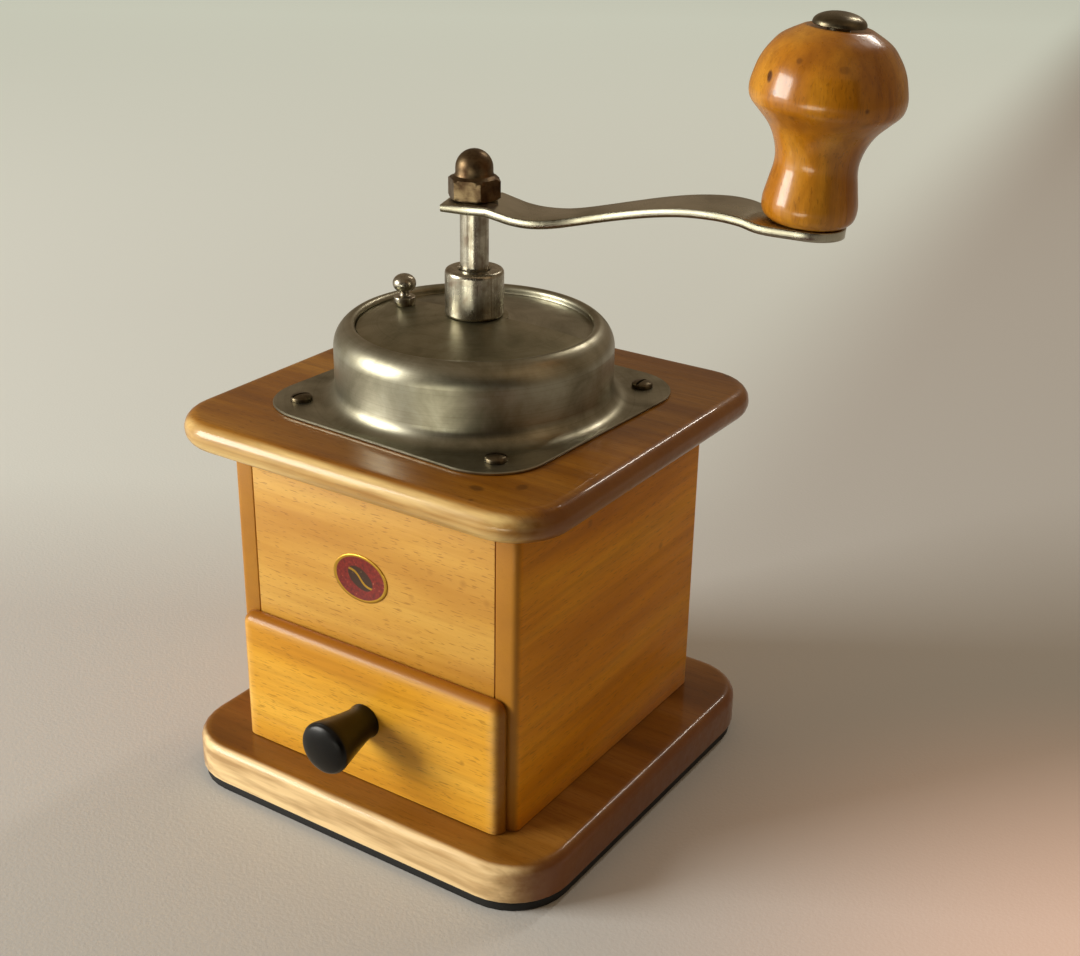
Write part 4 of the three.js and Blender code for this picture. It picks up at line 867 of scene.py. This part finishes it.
def addDrawerFront():
    look = drawerLook
    low, high = nodeCorners("drawer_front")
    half, edge, small = high[0], look["edge"], look["backEdge"]
    face, back, lipBack = low[1], high[1], low[1] + look["lipThickness"]
    rings = [frontRing(look["insetHalf"] - small, low[2], look["insetTop"] - small, 0.5, back),
             frontRing(look["insetHalf"], low[2], look["insetTop"], 0.6, back - small),
             frontRing(look["insetHalf"], low[2], look["insetTop"], 0.6, lipBack),
             frontRing(half - small, low[2], high[2] - small, look["corner"] - small, lipBack)]
    # Each ring's share of wear and painted highlight on the front's rounded edge
    wearAndSheen = [0, 0, 0, 0.2]
    for step in range(9):
        turn = math.radians(90 * step / 8)
        inset = edge * (1 - math.cos(turn))
        rings.append(frontRing(half - inset, low[2], high[2] - inset, max(look["corner"] - inset, 0.5),
                               face + edge * (1 - math.sin(turn))))
        wearAndSheen.append(math.sin(math.pi * (step + 1) / 10))
    rings.append(frontRing(half - edge - 1.5, low[2], high[2] - edge - 1.5, 0.4, face))
    wearAndSheen.append(0)
    finishPiece("drawerFront", loft(rings, wearAndSheen), "drawer", ["drawer_front"], frontBeech)


def addDrawerBoards():
    look = drawerLook
    for name, node in (("drawerLeftSide", "drawer_left_side"), ("drawerRightSide", "drawer_right_side"),
                       ("drawerBack", "drawer_back"), ("drawerBottom", "drawer_bottom")):
        addBoard(name, node, [look["boardCorner"]] * 4, look["boardEdges"], 2, rawBeech,
                 "drawer")


def addDrawerKnob():
    look = drawerLook
    low, high = nodeCorners("drawer_knob")
    axis, foot, length = (low[2] + high[2]) / 2, high[1], high[1] - low[1]
    neck, neckHeight = look["neck"], look["neckHeight"]
    rimAt = length - look["faceHeight"]
    line = [(0, 0), (neck + 0.25, 0), (neck + 0.25, 0.5), (neck + 0.1, 1.0), (neck + 0.02, neckHeight)]
    for share in (step / 8 for step in range(1, 9)):
        line.append((neck + (look["rim"] - neck) * share ** 1.15,
                     neckHeight + (rimAt - look["rimEdge"] - neckHeight) * share))
    line += arcLine((look["rim"] - look["rimEdge"], rimAt), look["rimEdge"], 0, 55, 5)
    crown = line[-1]
    line += arcLine((0, crown[1]), crown[0], 0, 90, 8, length - crown[1])[1:]
    shape = turnedShape(line, 72)
    bmesh.ops.transform(shape, matrix=Matrix(((1, 0, 0, 0), (0, 0, -1, foot * mm), (0, 1, 0, axis * mm),
                                              (0, 0, 0, 1))), verts=shape.verts)
    finishPiece("drawerKnob", shape, "drawer", ["drawer_knob"], blackBakelite)


addDrawerFront()
addDrawerBoards()
addDrawerKnob()
print("the drawer is made")


# The hopper: dome, lid, collar and screws

domeLook = {"flangeSide": 91.0, "flangeCorner": 17.0, "turn": -2.8, "wall": 39.8, "fillet": 5.0,
            "shoulder": 7.9, "sweep": 60, "rim": 1.5, "recess": 2.5, "sheet": 0.8, "hole": 5.9,
            "openingInner": 11.0, "openingOuter": 30.5, "openingStart": 192, "openingSpan": 160, "sides": 180,
            "crown": 3.4}
lidLook = {"start": 172, "span": 200, "hub": 9.6, "bore": 6.7, "knobAngle": 184, "knobOut": 23.6,
           "ball": 3.4, "ballUp": 2.75}


# How far the edge of a rounded square lies from its middle, in the direction of turn
def squareReach(turn, half, corner):
    c, s = abs(math.cos(turn)), abs(math.sin(turn))
    reach = half / max(c, s)
    inner = half - corner
    if c * reach > inner and s * reach > inner:
        middle = inner * (c + s)
        reach = middle + math.sqrt(max(middle ** 2 - (2 * inner ** 2 - corner ** 2), 0))
    return reach


# The radius of the dome's recess, where its sunken plate begins
def recessRadius():
    look = domeLook
    step = look["shoulder"] - look["rim"]
    return look["wall"] - look["shoulder"] + step * math.cos(math.radians(look["sweep"])) - look["rim"]


# How far plate and lid rise towards the shaft, which makes the collar look short
def crownAt(radius):
    return domeLook["crown"] * (1 - (radius / recessRadius()) ** 2)


def crownedLine(outer, inner, height, steps=14):
    radii = [outer + (inner - outer) * i / steps for i in range(steps + 1)]
    return [(radius, height + crownAt(radius)) for radius in radii]


def addDome():
    look = domeLook
    low, high = nodeCorners("hopper_dome")
    bottom, top = low[2], high[2]
    flangeTop = bottom + look["sheet"]
    plate = top - look["recess"]
    shoulderAt = look["wall"] - look["shoulder"]
    sweep = math.radians(look["sweep"])
    step = look["shoulder"] - look["rim"]
    rimSpot = (shoulderAt + step * math.cos(sweep), top - look["rim"])
    shoulderSpot = (shoulderAt, rimSpot[1] - step * math.sin(sweep))
    filletSpot = (look["wall"] + look["fillet"], flangeTop + look["fillet"])
    recess = recessRadius()
    outside = arcLine(filletSpot, look["fillet"], 270, 180, 10)
    outside += arcLine(shoulderSpot, look["shoulder"], 0, look["sweep"], 14)
    outside += arcLine(rimSpot, look["rim"], look["sweep"], 180, 10)[1:]
    outside += [(recess, plate + 0.35), (recess - 0.1, plate + 0.12)]
    outside += crownedLine(recess - 0.35, look["hole"], plate)
    inside = crownedLine(look["hole"], recess, plate - look["sheet"])
    inside += arcLine(rimSpot, look["rim"] - look["sheet"], 180, look["sweep"], 5)
    inside += arcLine(shoulderSpot, look["shoulder"] - look["sheet"], look["sweep"], 0, 8)[1:]
    inside += arcLine(filletSpot, look["fillet"] + look["sheet"], 180, 270, 7)
    turns = [2 * math.pi * i / look["sides"] for i in range(look["sides"])]
    askew = math.radians(look["turn"])
    rings = []
    for inset, height in ((0.15, bottom), (0, bottom + 0.2), (0, flangeTop - 0.25), (0.25, flangeTop)):
        half, corner = look["flangeSide"] / 2 - inset, look["flangeCorner"] - inset
        rings.append([(*polar(squareReach(turn - askew, half, corner), turn), height) for turn in turns])
    rings += [circleRing(radius, height, look["sides"]) for radius, height in outside + inside]
    wearAndSheen = [0, 0.6, 1, 0.6] + [0.0] * (len(rings) - 4)
    shell = loft(rings, wearAndSheen, capEnds=False, closeLoop=True)
    first, last = (math.radians(look["openingStart"] + s) for s in (0, look["openingSpan"]))
    arc = [first + (last - first) * i / 40 for i in range(41)]
    cutter = prism(sector(look["openingOuter"], look["openingInner"], arc), plate - 3, plate + 6)
    finishPiece("hopperDome", cutWith(shell, cutter), "frame", ["hopper_dome"],
                domeNickel, 40)


def addLid():
    look = lidLook
    low, high = nodeCorners("hopper_lid")
    outer = max(high[0], -low[0], -low[1])
    upper = crownedLine(look["bore"], outer - 0.25, high[2])
    lower = crownedLine(outer - 0.2, look["bore"], low[2])
    rim = [(outer - 0.08, upper[-1][1] - 0.08), (outer, upper[-1][1] - 0.25), (outer, lower[0][1] + 0.2)]
    disc = turnedShape(upper + rim + lower, 160, closeLoop=True)
    first, last = math.radians(look["start"]), math.radians(look["start"] + look["span"])
    rest = [last + (first + 2 * math.pi - last) * i / 30 for i in range(31)]
    away = prism(sector(look["hub"], outer * 1.4, rest), low[2] - 2, high[2] + 8)
    finishPiece("hopperLid", cutWith(disc, away), "lid", ["hopper_lid"], lidNickel)


# A turned stem with a flattened ball, which stands on the crowned lid
def addLidKnob():
    look = lidLook
    low, high = nodeCorners("lid_knob")
    centre = polar(look["knobOut"], math.radians(look["knobAngle"]))
    raised = crownAt(look["knobOut"])
    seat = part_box("hopper_lid")[1].z / mm + 0.1 + raised
    ball = high[2] - look["ballUp"]
    short = (ball - 2.1 - seat) / 5.75  # squeezes the stem between the raised seat and the ball
    line = filleted([(0, low[2] + raised, 0), (1.2, low[2] + raised, 0), (1.2, seat, 0), (2.7, seat, 0.4),
                     (3.15, seat + 1.6 * short, 0.5), (3.1, seat + 3.5 * short, 0.35),
                     (1.5, seat + 3.7 * short, 0.8), (1.25, seat + 5.2 * short, 0.6),
                     (1.9, seat + 5.75 * short, 0)], 5)
    line += arcLine((0, ball), look["ball"], -50, 90, 14, look["ballUp"])
    finishPiece("lidKnob", turnedShape(line, 56, centre), "lid", ["lid_knob"], turnedSteel)


def addCollar():
    low, high = nodeCorners("shaft_collar")
    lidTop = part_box("hopper_lid")[1].z / mm + crownAt(8.0)
    neck = plateTop() + 0.1 + crownAt(domeLook["hole"])
    line = filleted([
        (4.3, low[2], 0), (5.7, low[2], 0), (5.7, neck, 0), (6.4, neck, 0),
        (6.4, lidTop + 0.2, 0), (8.0, lidTop + 0.2, 0.2), (8.35, lidTop + 0.8, 0.3),
        (8.25, lidTop + 2.4, 1.0), (8.3, high[2] - 3, 1.0), (8.3, high[2], 2.1), (4.9, high[2], 0.5),
        (4.3, high[2] - 0.7, 0),
    ], 8)
    finishPiece("shaftCollar", turnedShape(line, 96, closeLoop=True), "frame", ["shaft_collar"],
                turnedSteel)


def plateTop():
    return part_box("hopper_dome")[1].z / mm - domeLook["recess"]


addDome()
addLid()
addLidKnob()
addCollar()
print("the hopper is made")


# The flange screws repeat, so a node tree sets one head and its shank on each corner

screwLook = {"head": 3.1, "headHeight": 1.8, "shank": 1.5, "length": 8.2, "slotWidth": 0.8, "slotDepth": 0.8,
             "circle": 34.8 * math.sqrt(2), "firstAngle": 45 + domeLook["turn"], "count": 4, "seed": 6}


# A geometry tree with its sizes as named inputs
def growthTree(name, inputs):
    tree = bpy.data.node_groups.new(name, "GeometryNodeTree")
    sockets = [("Geometry", "INPUT", "Geometry")]
    sockets += [(label, "INPUT", kind) for label, kind in inputs.items()]
    for label, way, kind in sockets + [("Geometry", "OUTPUT", "Geometry")]:
        tree.interface.new_socket(label, in_out=way, socket_type="NodeSocket" + kind)
    return tree, addNode(tree, "NodeGroupInput").outputs


# Makes a tree's result real, with its finish on
def endTree(tree, geometry, finish):
    real = addNode(tree, "GeometryNodeRealizeInstances", {0: geometry})
    finished = addNode(tree, "GeometryNodeSetMaterial", {"Geometry": real, "Material": finish})
    addNode(tree, "NodeGroupOutput", {0: finished})
    return tree


def screwRingTree():
    tree, given = growthTree("screwsOnCorners", {
        "Screws": "Int", "Circle Radius": "Float", "First Angle": "Float", "Seat Height": "Float",
        "Slot Seed": "Int", "Finish": "Material",
    })
    corners = addNode(tree, "GeometryNodeMeshCircle", {
        "Vertices": given["Screws"], "Radius": given["Circle Radius"],
    })
    lift = addNode(tree, "ShaderNodeCombineXYZ", {"Z": given["Seat Height"]})
    swing = addNode(tree, "ShaderNodeCombineXYZ", {"Z": given["First Angle"]})
    placed = addNode(tree, "GeometryNodeTransform", {
        "Geometry": corners, "Translation": lift, "Rotation": swing,
    })
    slotTurn = addNode(tree, "FunctionNodeRandomValue", {
        "Min": (0.0, 0.0, 0.0), "Max": (0.0, 0.0, math.pi), "Seed": given["Slot Seed"],
    }, data_type="FLOAT_VECTOR")
    screws = addNode(tree, "GeometryNodeInstanceOnPoints", {
        "Points": placed, "Instance": given["Geometry"], "Rotation": slotTurn,
    })
    return endTree(tree, screws, given["Finish"])


# The plain mesh that a node tree makes from a starting shape, with its modifier gone
def grownPiece(name, shape, tree, values):
    bmesh.ops.recalc_face_normals(shape, faces=shape.faces)
    start = meshFrom(name + "Start", shape)
    maker = addObject(name + "Maker", start)
    modifier = maker.modifiers.new("grow", "NODES")
    modifier.node_group = tree
    sockets = {item.name: item.identifier for item in tree.interface.items_tree
               if item.item_type == "SOCKET" and item.in_out == "INPUT"}
    for label, value in values.items():
        modifier[sockets[label]] = value
    mesh = bpy.data.meshes.new_from_object(maker.evaluated_get(bpy.context.evaluated_depsgraph_get()))
    mesh.name = name
    maker.modifiers.remove(modifier)
    bpy.data.objects.remove(maker)
    bpy.data.meshes.remove(start)
    return addObject(name, mesh)


def addFlangeScrews():
    look = screwLook
    line = [(0, -look["length"]), (look["shank"], -look["length"] + 2), (look["shank"], 0), (look["head"], 0)]
    for angle in range(0, 91, 9):
        turn = math.radians(angle)
        line.append((look["head"] * math.cos(turn), look["headHeight"] * (0.35 + 0.65 * math.sin(turn))))
    screw = turnedShape(line, 40)
    half, reach = look["slotWidth"] / 2, look["head"] + 1
    ends = [(-reach, -half), (reach, -half), (reach, half), (-reach, half)]
    slot = prism(ends, look["headHeight"] - look["slotDepth"], look["headHeight"] + 1)
    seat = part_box("hopper_dome")[0].z + (domeLook["sheet"] + 0.1) * mm
    screws = grownPiece("flangeScrews", cutWith(screw, slot), screwRingTree(), {
        "Screws": look["count"], "Circle Radius": look["circle"] * mm,
        "First Angle": math.radians(look["firstAngle"]), "Seat Height": seat,
        "Slot Seed": look["seed"], "Finish": screwSteel,
    })
    screws.data.shade_smooth()
    screws.data.set_sharp_from_angle(angle=math.radians(30))
    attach(screws, "frame")
    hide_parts(*[f"flange_screw_{i}" for i in range(1, 5)])


addFlangeScrews()
print("the flange screws are made")


# The crank: shaft, arm, nut, knob and pin

crankLook = {"angle": 18.5, "reach": 90.0, "width": 20.7, "thickness": 2.7, "overhang": 7.0, "rise": 4.05,
             "endSlope": 4.5, "endStart": 0.884, "endRise": 0.235, "upperEdge": 0.35, "lowerEdge": 0.95,
             "seatGap": 0.1, "shaft": 4, "shaftEnd": 3.2, "shaftFlange": 6.5,
             "nutFlats": 13.0, "nutDome": 5.2, "nutHex": 6.0, "pin": 3.0, "pinNeck": 2.5, "pinCap": 6.8,
             "pinRivet": 4.2, "capHeight": 3.4, "capEdge": 0.45, "knobRadius": 19.9, "knobHeight": 49.2,
             "knobBore": 3.3, "knobGap": 0.3, "knobSides": 96}
# The arm's rise, then its width, each as shares at shares of its reach
armBends = [
    (0.06, 0), (0.1, -0.26), (0.144, -0.52), (0.2, -0.655), (0.267, -0.58), (0.333, -0.333),
    (0.411, 0.035), (0.489, 0.395), (0.578, 0.753), (0.667, 0.98), (0.756, 1), (0.822, 0.815),
]
armPlan = [
    (0.056, 0.44), (0.2, 0.38), (0.333, 0.262), (0.467, 0.265), (0.622, 0.353), (0.778, 0.47), (0.911, 0.5),
]
# The knob's outline, as shares of its radius and its height
knobOutline = [
    (0.5, 0), (0.595, 0.035), (0.622, 0.1), (0.58, 0.2), (0.541, 0.29), (0.552, 0.36), (0.613, 0.435),
    (0.71, 0.5), (0.851, 0.56), (0.968, 0.612), (1, 0.672), (0.968, 0.745), (0.912, 0.815),
    (0.817, 0.88), (0.683, 0.94), (0.42, 1),
]


def crankPlace(along, across, height):
    turn = math.radians(crankLook["angle"])
    c, s = math.cos(turn), math.sin(turn)
    return along * c - across * s, along * s + across * c, height


# A smooth line through the points
def smoothLine(points, count):
    spots = [points[0]] + list(points) + [points[-1]]
    line = []
    for i in range(count + 1):
        place = min(i / count * (len(points) - 1), len(points) - 1 - 1e-9)
        k, t = int(place), place - int(place)
        a, b, c, d = spots[k:k + 4]
        line.append(tuple(0.5 * (2 * b[n] + (c[n] - a[n]) * t
                                 + (2 * a[n] - 5 * b[n] + 4 * c[n] - d[n]) * t * t
                                 + (3 * b[n] - a[n] - 3 * c[n] + d[n]) * t ** 3) for n in (0, 1)))
    return line


# The line's second value at a place along it, or the value at its end beyond that
def valueAt(line, along):
    for (start, low), (end, high) in zip(line, line[1:]):
        if along <= end:
            return low + (high - low) * max(along - start, 0) / (end - start)
    return line[-1][1]


def armMiddle():
    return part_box("acorn_nut")[0].z / mm - crankLook["seatGap"] - crankLook["thickness"] / 2


# Turns a shape made round the knob's pin to where the pin stands on the arm's sloping end
def knobSeat():
    look = crankLook
    seat = Vector((look["reach"], 0, armMiddle() + look["endRise"] * look["rise"])) * mm
    slope = Matrix.Rotation(math.radians(look["endSlope"]), 4, "Y")
    return Matrix.Rotation(math.radians(look["angle"]), 4, "Z") @ Matrix.Translation(seat) @ slope


def addArm():
    look = crankLook
    reach, endRadius = look["reach"], look["width"] / 2
    fall = math.tan(math.radians(look["endSlope"]))
    endRise = look["endRise"] * look["rise"]
    straightFrom = look["endStart"] * reach
    bends = [(a * reach, r * look["rise"]) for a, r in armBends]
    bends += [(straightFrom, endRise + (reach - straightFrom) * fall), (reach, endRise)]
    line = [(-look["overhang"], 0.0), (0.0, 0.0)] + smoothLine(bends, 104)
    alongEnd = [reach + endRadius * math.sin(math.radians(a)) for a in range(6, 87, 5)]
    alongEnd.append(reach + endRadius - 0.02)
    line += [(along, endRise + (reach - along) * fall) for along in alongEnd]
    plan = smoothLine([(a * reach, w * look["width"]) for a, w in armPlan], 60)
    halfThick = look["thickness"] / 2
    rings = []
    for i, (along, rise) in enumerate(line):
        before, after = line[max(i - 1, 0)], line[min(i + 1, len(line) - 1)]
        lean = math.atan2(after[1] - before[1], after[0] - before[0])
        if along > reach:
            half = math.sqrt(max(endRadius ** 2 - (along - reach) ** 2, 0.25))
        else:
            half = valueAt(plan, along)
        trim = 0.3 if i == 0 else 0.0
        ring = []
        for sideY, sideZ, start in quarters:
            edge = min(look["upperEdge"] if sideZ > 0 else look["lowerEdge"], half * 0.6)
            centre = (sideY * (half - trim - edge), sideZ * (halfThick - trim - edge))
            for across, up in arcLine(centre, edge, start, start + 90, 4):
                ring.append(crankPlace(along - up * math.sin(lean), across,
                                       armMiddle() + rise + up * math.cos(lean)))
        rings.append(ring)
    finishPiece("crankArm", loft(rings), "crank", ["crank_arm"], armNickel, 35)


def addShaft():
    look = crankLook
    low, high = nodeCorners("drive_shaft")
    armSeat = nodeCorners("acorn_nut")[0][2] - look["seatGap"] - look["thickness"] - look["seatGap"]
    shaft, end, flange = look["shaft"], look["shaftEnd"], look["shaftFlange"]
    flangeLow = low[2] + 2.4
    flangeHigh = flangeLow + 1.9
    line = [(0, low[2]), (3.4, low[2]), (shaft, low[2] + 0.6), (shaft, flangeLow), (flange, flangeLow),
            (flange, flangeHigh), (shaft, flangeHigh), (shaft, armSeat), (end, armSeat), (end, high[2]),
            (0, high[2])]
    finishPiece("driveShaft", turnedShape(line, 64), "crank", ["drive_shaft"], turnedSteel)


# A hexagon, round where a limit is smaller than it, with a dome on top
def addNut():
    look = crankLook
    low, high = nodeCorners("acorn_nut")
    bottom, hexTop, dome = low[2], low[2] + look["nutHex"], look["nutDome"]
    corner = look["nutFlats"] / math.sqrt(3)
    limits = [(corner - 1.1, bottom), (corner - 0.5, bottom + 0.22), (corner, bottom + 0.6),
              (corner + 0.1, bottom + 1.5), (corner + 0.1, hexTop - 1.6), (corner, hexTop - 0.8),
              (corner - 0.7, hexTop - 0.25), (corner - 1.4, hexTop - 0.02),
              (dome + 0.75, hexTop + 0.12), (dome + 0.25, hexTop + 0.45), (dome, hexTop + 1.1)]
    sides = 96
    rings = []
    for limit, height in limits + arcLine((0, high[2] - dome), dome, 0, 90, 10):
        ring = []
        for turn in (2 * math.pi * i / sides for i in range(sides)):
            flat = (turn % (math.pi / 3)) - math.pi / 6
            radius = max(min(limit, look["nutFlats"] / 2 / math.cos(flat)), poleRadius)
            ring.append((*polar(radius, turn + math.radians(look["angle"])), height))
        rings.append(ring)
    nut = loft(rings)
    bmesh.ops.remove_doubles(nut, verts=nut.verts, dist=mergeReach * mm)
    finishPiece("acornNut", nut, "crank", ["acorn_nut"], brownedBrass, 28)


# Wraps a grid into a turning: one curve gives its radius and one its height along the outline
def turnedKnobTree():
    tree, given = growthTree("turnedKnob", {
        "Largest Radius": "Float", "Height": "Float", "Foot Centre": "Vector", "Sides": "Int",
        "Rings": "Int", "Finish": "Material",
    })
    columns = addNode(tree, "ShaderNodeMath", (given["Sides"], 1.0), operation="ADD")
    grid = addNode(tree, "GeometryNodeMeshGrid", {
        "Size X": 1.0, "Size Y": 1.0, "Vertices X": columns, "Vertices Y": given["Rings"],
    })
    spot = addNode(tree, "ShaderNodeSeparateXYZ", {0: addNode(tree, "GeometryNodeInputPosition")}).outputs
    along = addNode(tree, "ShaderNodeMath", (spot["Y"], 0.5), operation="ADD")
    turn = addNode(tree, "ShaderNodeMath", (spot["X"], 2 * math.pi), operation="MULTIPLY")
    outline = outlineTable()
    sizes = []
    for column, size in enumerate(("Largest Radius", "Height")):
        share = addNode(tree, "ShaderNodeFloatCurve", {"Value": along})
        points = share.mapping.curves[0].points
        for i in range(len(outline) - 2):
            points.new(0.5, 0.5)
        for i, values in enumerate(outline):
            points[i].location = (i / (len(outline) - 1), values[column])
            points[i].handle_type = "VECTOR"
        share.mapping.update()
        sizes.append(addNode(tree, "ShaderNodeMath", (share, given[size]), operation="MULTIPLY"))
    flat = []
    for wave in ("COSINE", "SINE"):
        swing = addNode(tree, "ShaderNodeMath", {0: turn}, operation=wave)
        flat.append(addNode(tree, "ShaderNodeMath", (swing, sizes[0]), operation="MULTIPLY"))
    wrapped = addNode(tree, "ShaderNodeCombineXYZ", (*flat, sizes[1]))
    placed = addNode(tree, "ShaderNodeVectorMath", (wrapped, given["Foot Centre"]), operation="ADD")
    turned = addNode(tree, "GeometryNodeSetPosition", {"Geometry": grid, "Position": placed})
    joined = addNode(tree, "GeometryNodeMergeByDistance", {
        "Geometry": turned, "Distance": 2 * mergeReach * mm,
    })
    return endTree(tree, joined, given["Finish"])


# The knob's closed outline at even steps along it, as shares of its radius and height
def outlineTable():
    bore = crankLook["knobBore"] / crankLook["knobRadius"]
    outer = smoothLine(knobOutline, 120)
    closed = [(bore, 0.0), (knobOutline[0][0] - 0.03, 0.0)] + outer[1:]
    return [(r, max(0.0, min(1.0, h))) for r, h in closed] + [(bore, 1.0), (bore, 0.0)]


def addKnob():
    look = crankLook
    foot = look["thickness"] / 2 + look["knobGap"]
    knob = grownPiece("crankKnob", bmesh.new(), turnedKnobTree(), {
        "Largest Radius": look["knobRadius"] * mm, "Height": look["knobHeight"] * mm,
        "Foot Centre": (0.0, 0.0, foot * mm),
        "Sides": look["knobSides"], "Rings": len(outlineTable()), "Finish": knobBeech,
    })
    shape = bmesh.new()
    shape.from_mesh(knob.data)
    bmesh.ops.transform(shape, matrix=knobSeat(), verts=shape.verts)
    bmesh.ops.recalc_face_normals(shape, faces=shape.faces)
    shape.to_mesh(knob.data)
    shape.free()
    knob.data.shade_smooth()
    knob.data.set_sharp_from_angle(angle=math.radians(40))
    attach(knob, "knob")
    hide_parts("crank_knob")


# Riveted under the arm, plain through the knob, with a domed cap on top
def addPin():
    look = crankLook
    shoulder = look["thickness"] / 2 + look["seatGap"]
    capLow = look["thickness"] / 2 + look["knobGap"] + look["knobHeight"] + look["knobGap"]
    pin, neck, cap, rivet, edge = (look[k] for k in ("pin", "pinNeck", "pinCap", "pinRivet", "capEdge"))
    line = [(0, -shoulder - 1.3), (neck, -shoulder - 1.3), (3.7, -shoulder - 1.0), (rivet, -shoulder - 0.55),
            (rivet, -shoulder), (neck, -shoulder), (neck, shoulder), (pin, shoulder), (pin, capLow),
            (cap - 0.15, capLow), (cap, capLow + 0.15), (cap, capLow + edge)]
    line += arcLine((0, capLow + edge), cap, 8, 88, 10, look["capHeight"] - edge)
    line.append((0, capLow + look["capHeight"]))
    shape = turnedShape(line, 72)
    bmesh.ops.transform(shape, matrix=knobSeat(), verts=shape.verts)
    finishPiece("knobPin", shape, "crank", ["knob_pin"], pinSteel)


addArm()
addShaft()
addNut()
addKnob()
addPin()
print("the crank is made")


# The nodes that stay as they are take their finishes

def finishNodes():
    finishes = {
        "collar_nut": screwSteel, "mill_housing": millIron, "outer_burr": burrSteel, "inner_burr": burrSteel,
        "burr_pin": screwSteel, "bearing_bridge": millIron, "thrust_ball": turnedSteel,
        "adjusting_screw": screwSteel, "drawer_knob_screw": screwSteel,
    }
    for kind, count in (("housing_screw", 3), ("bridge_screw", 2), ("base_screw", 4)):
        finishes.update({f"{kind}_{i}": screwSteel for i in range(1, count + 1)})
    for node, material in finishes.items():
        mesh = nodes[node].data
        if mesh.materials:
            mesh.materials[0] = material
        else:
            mesh.materials.append(material)


finishNodes()
print("the inner pieces are finished")
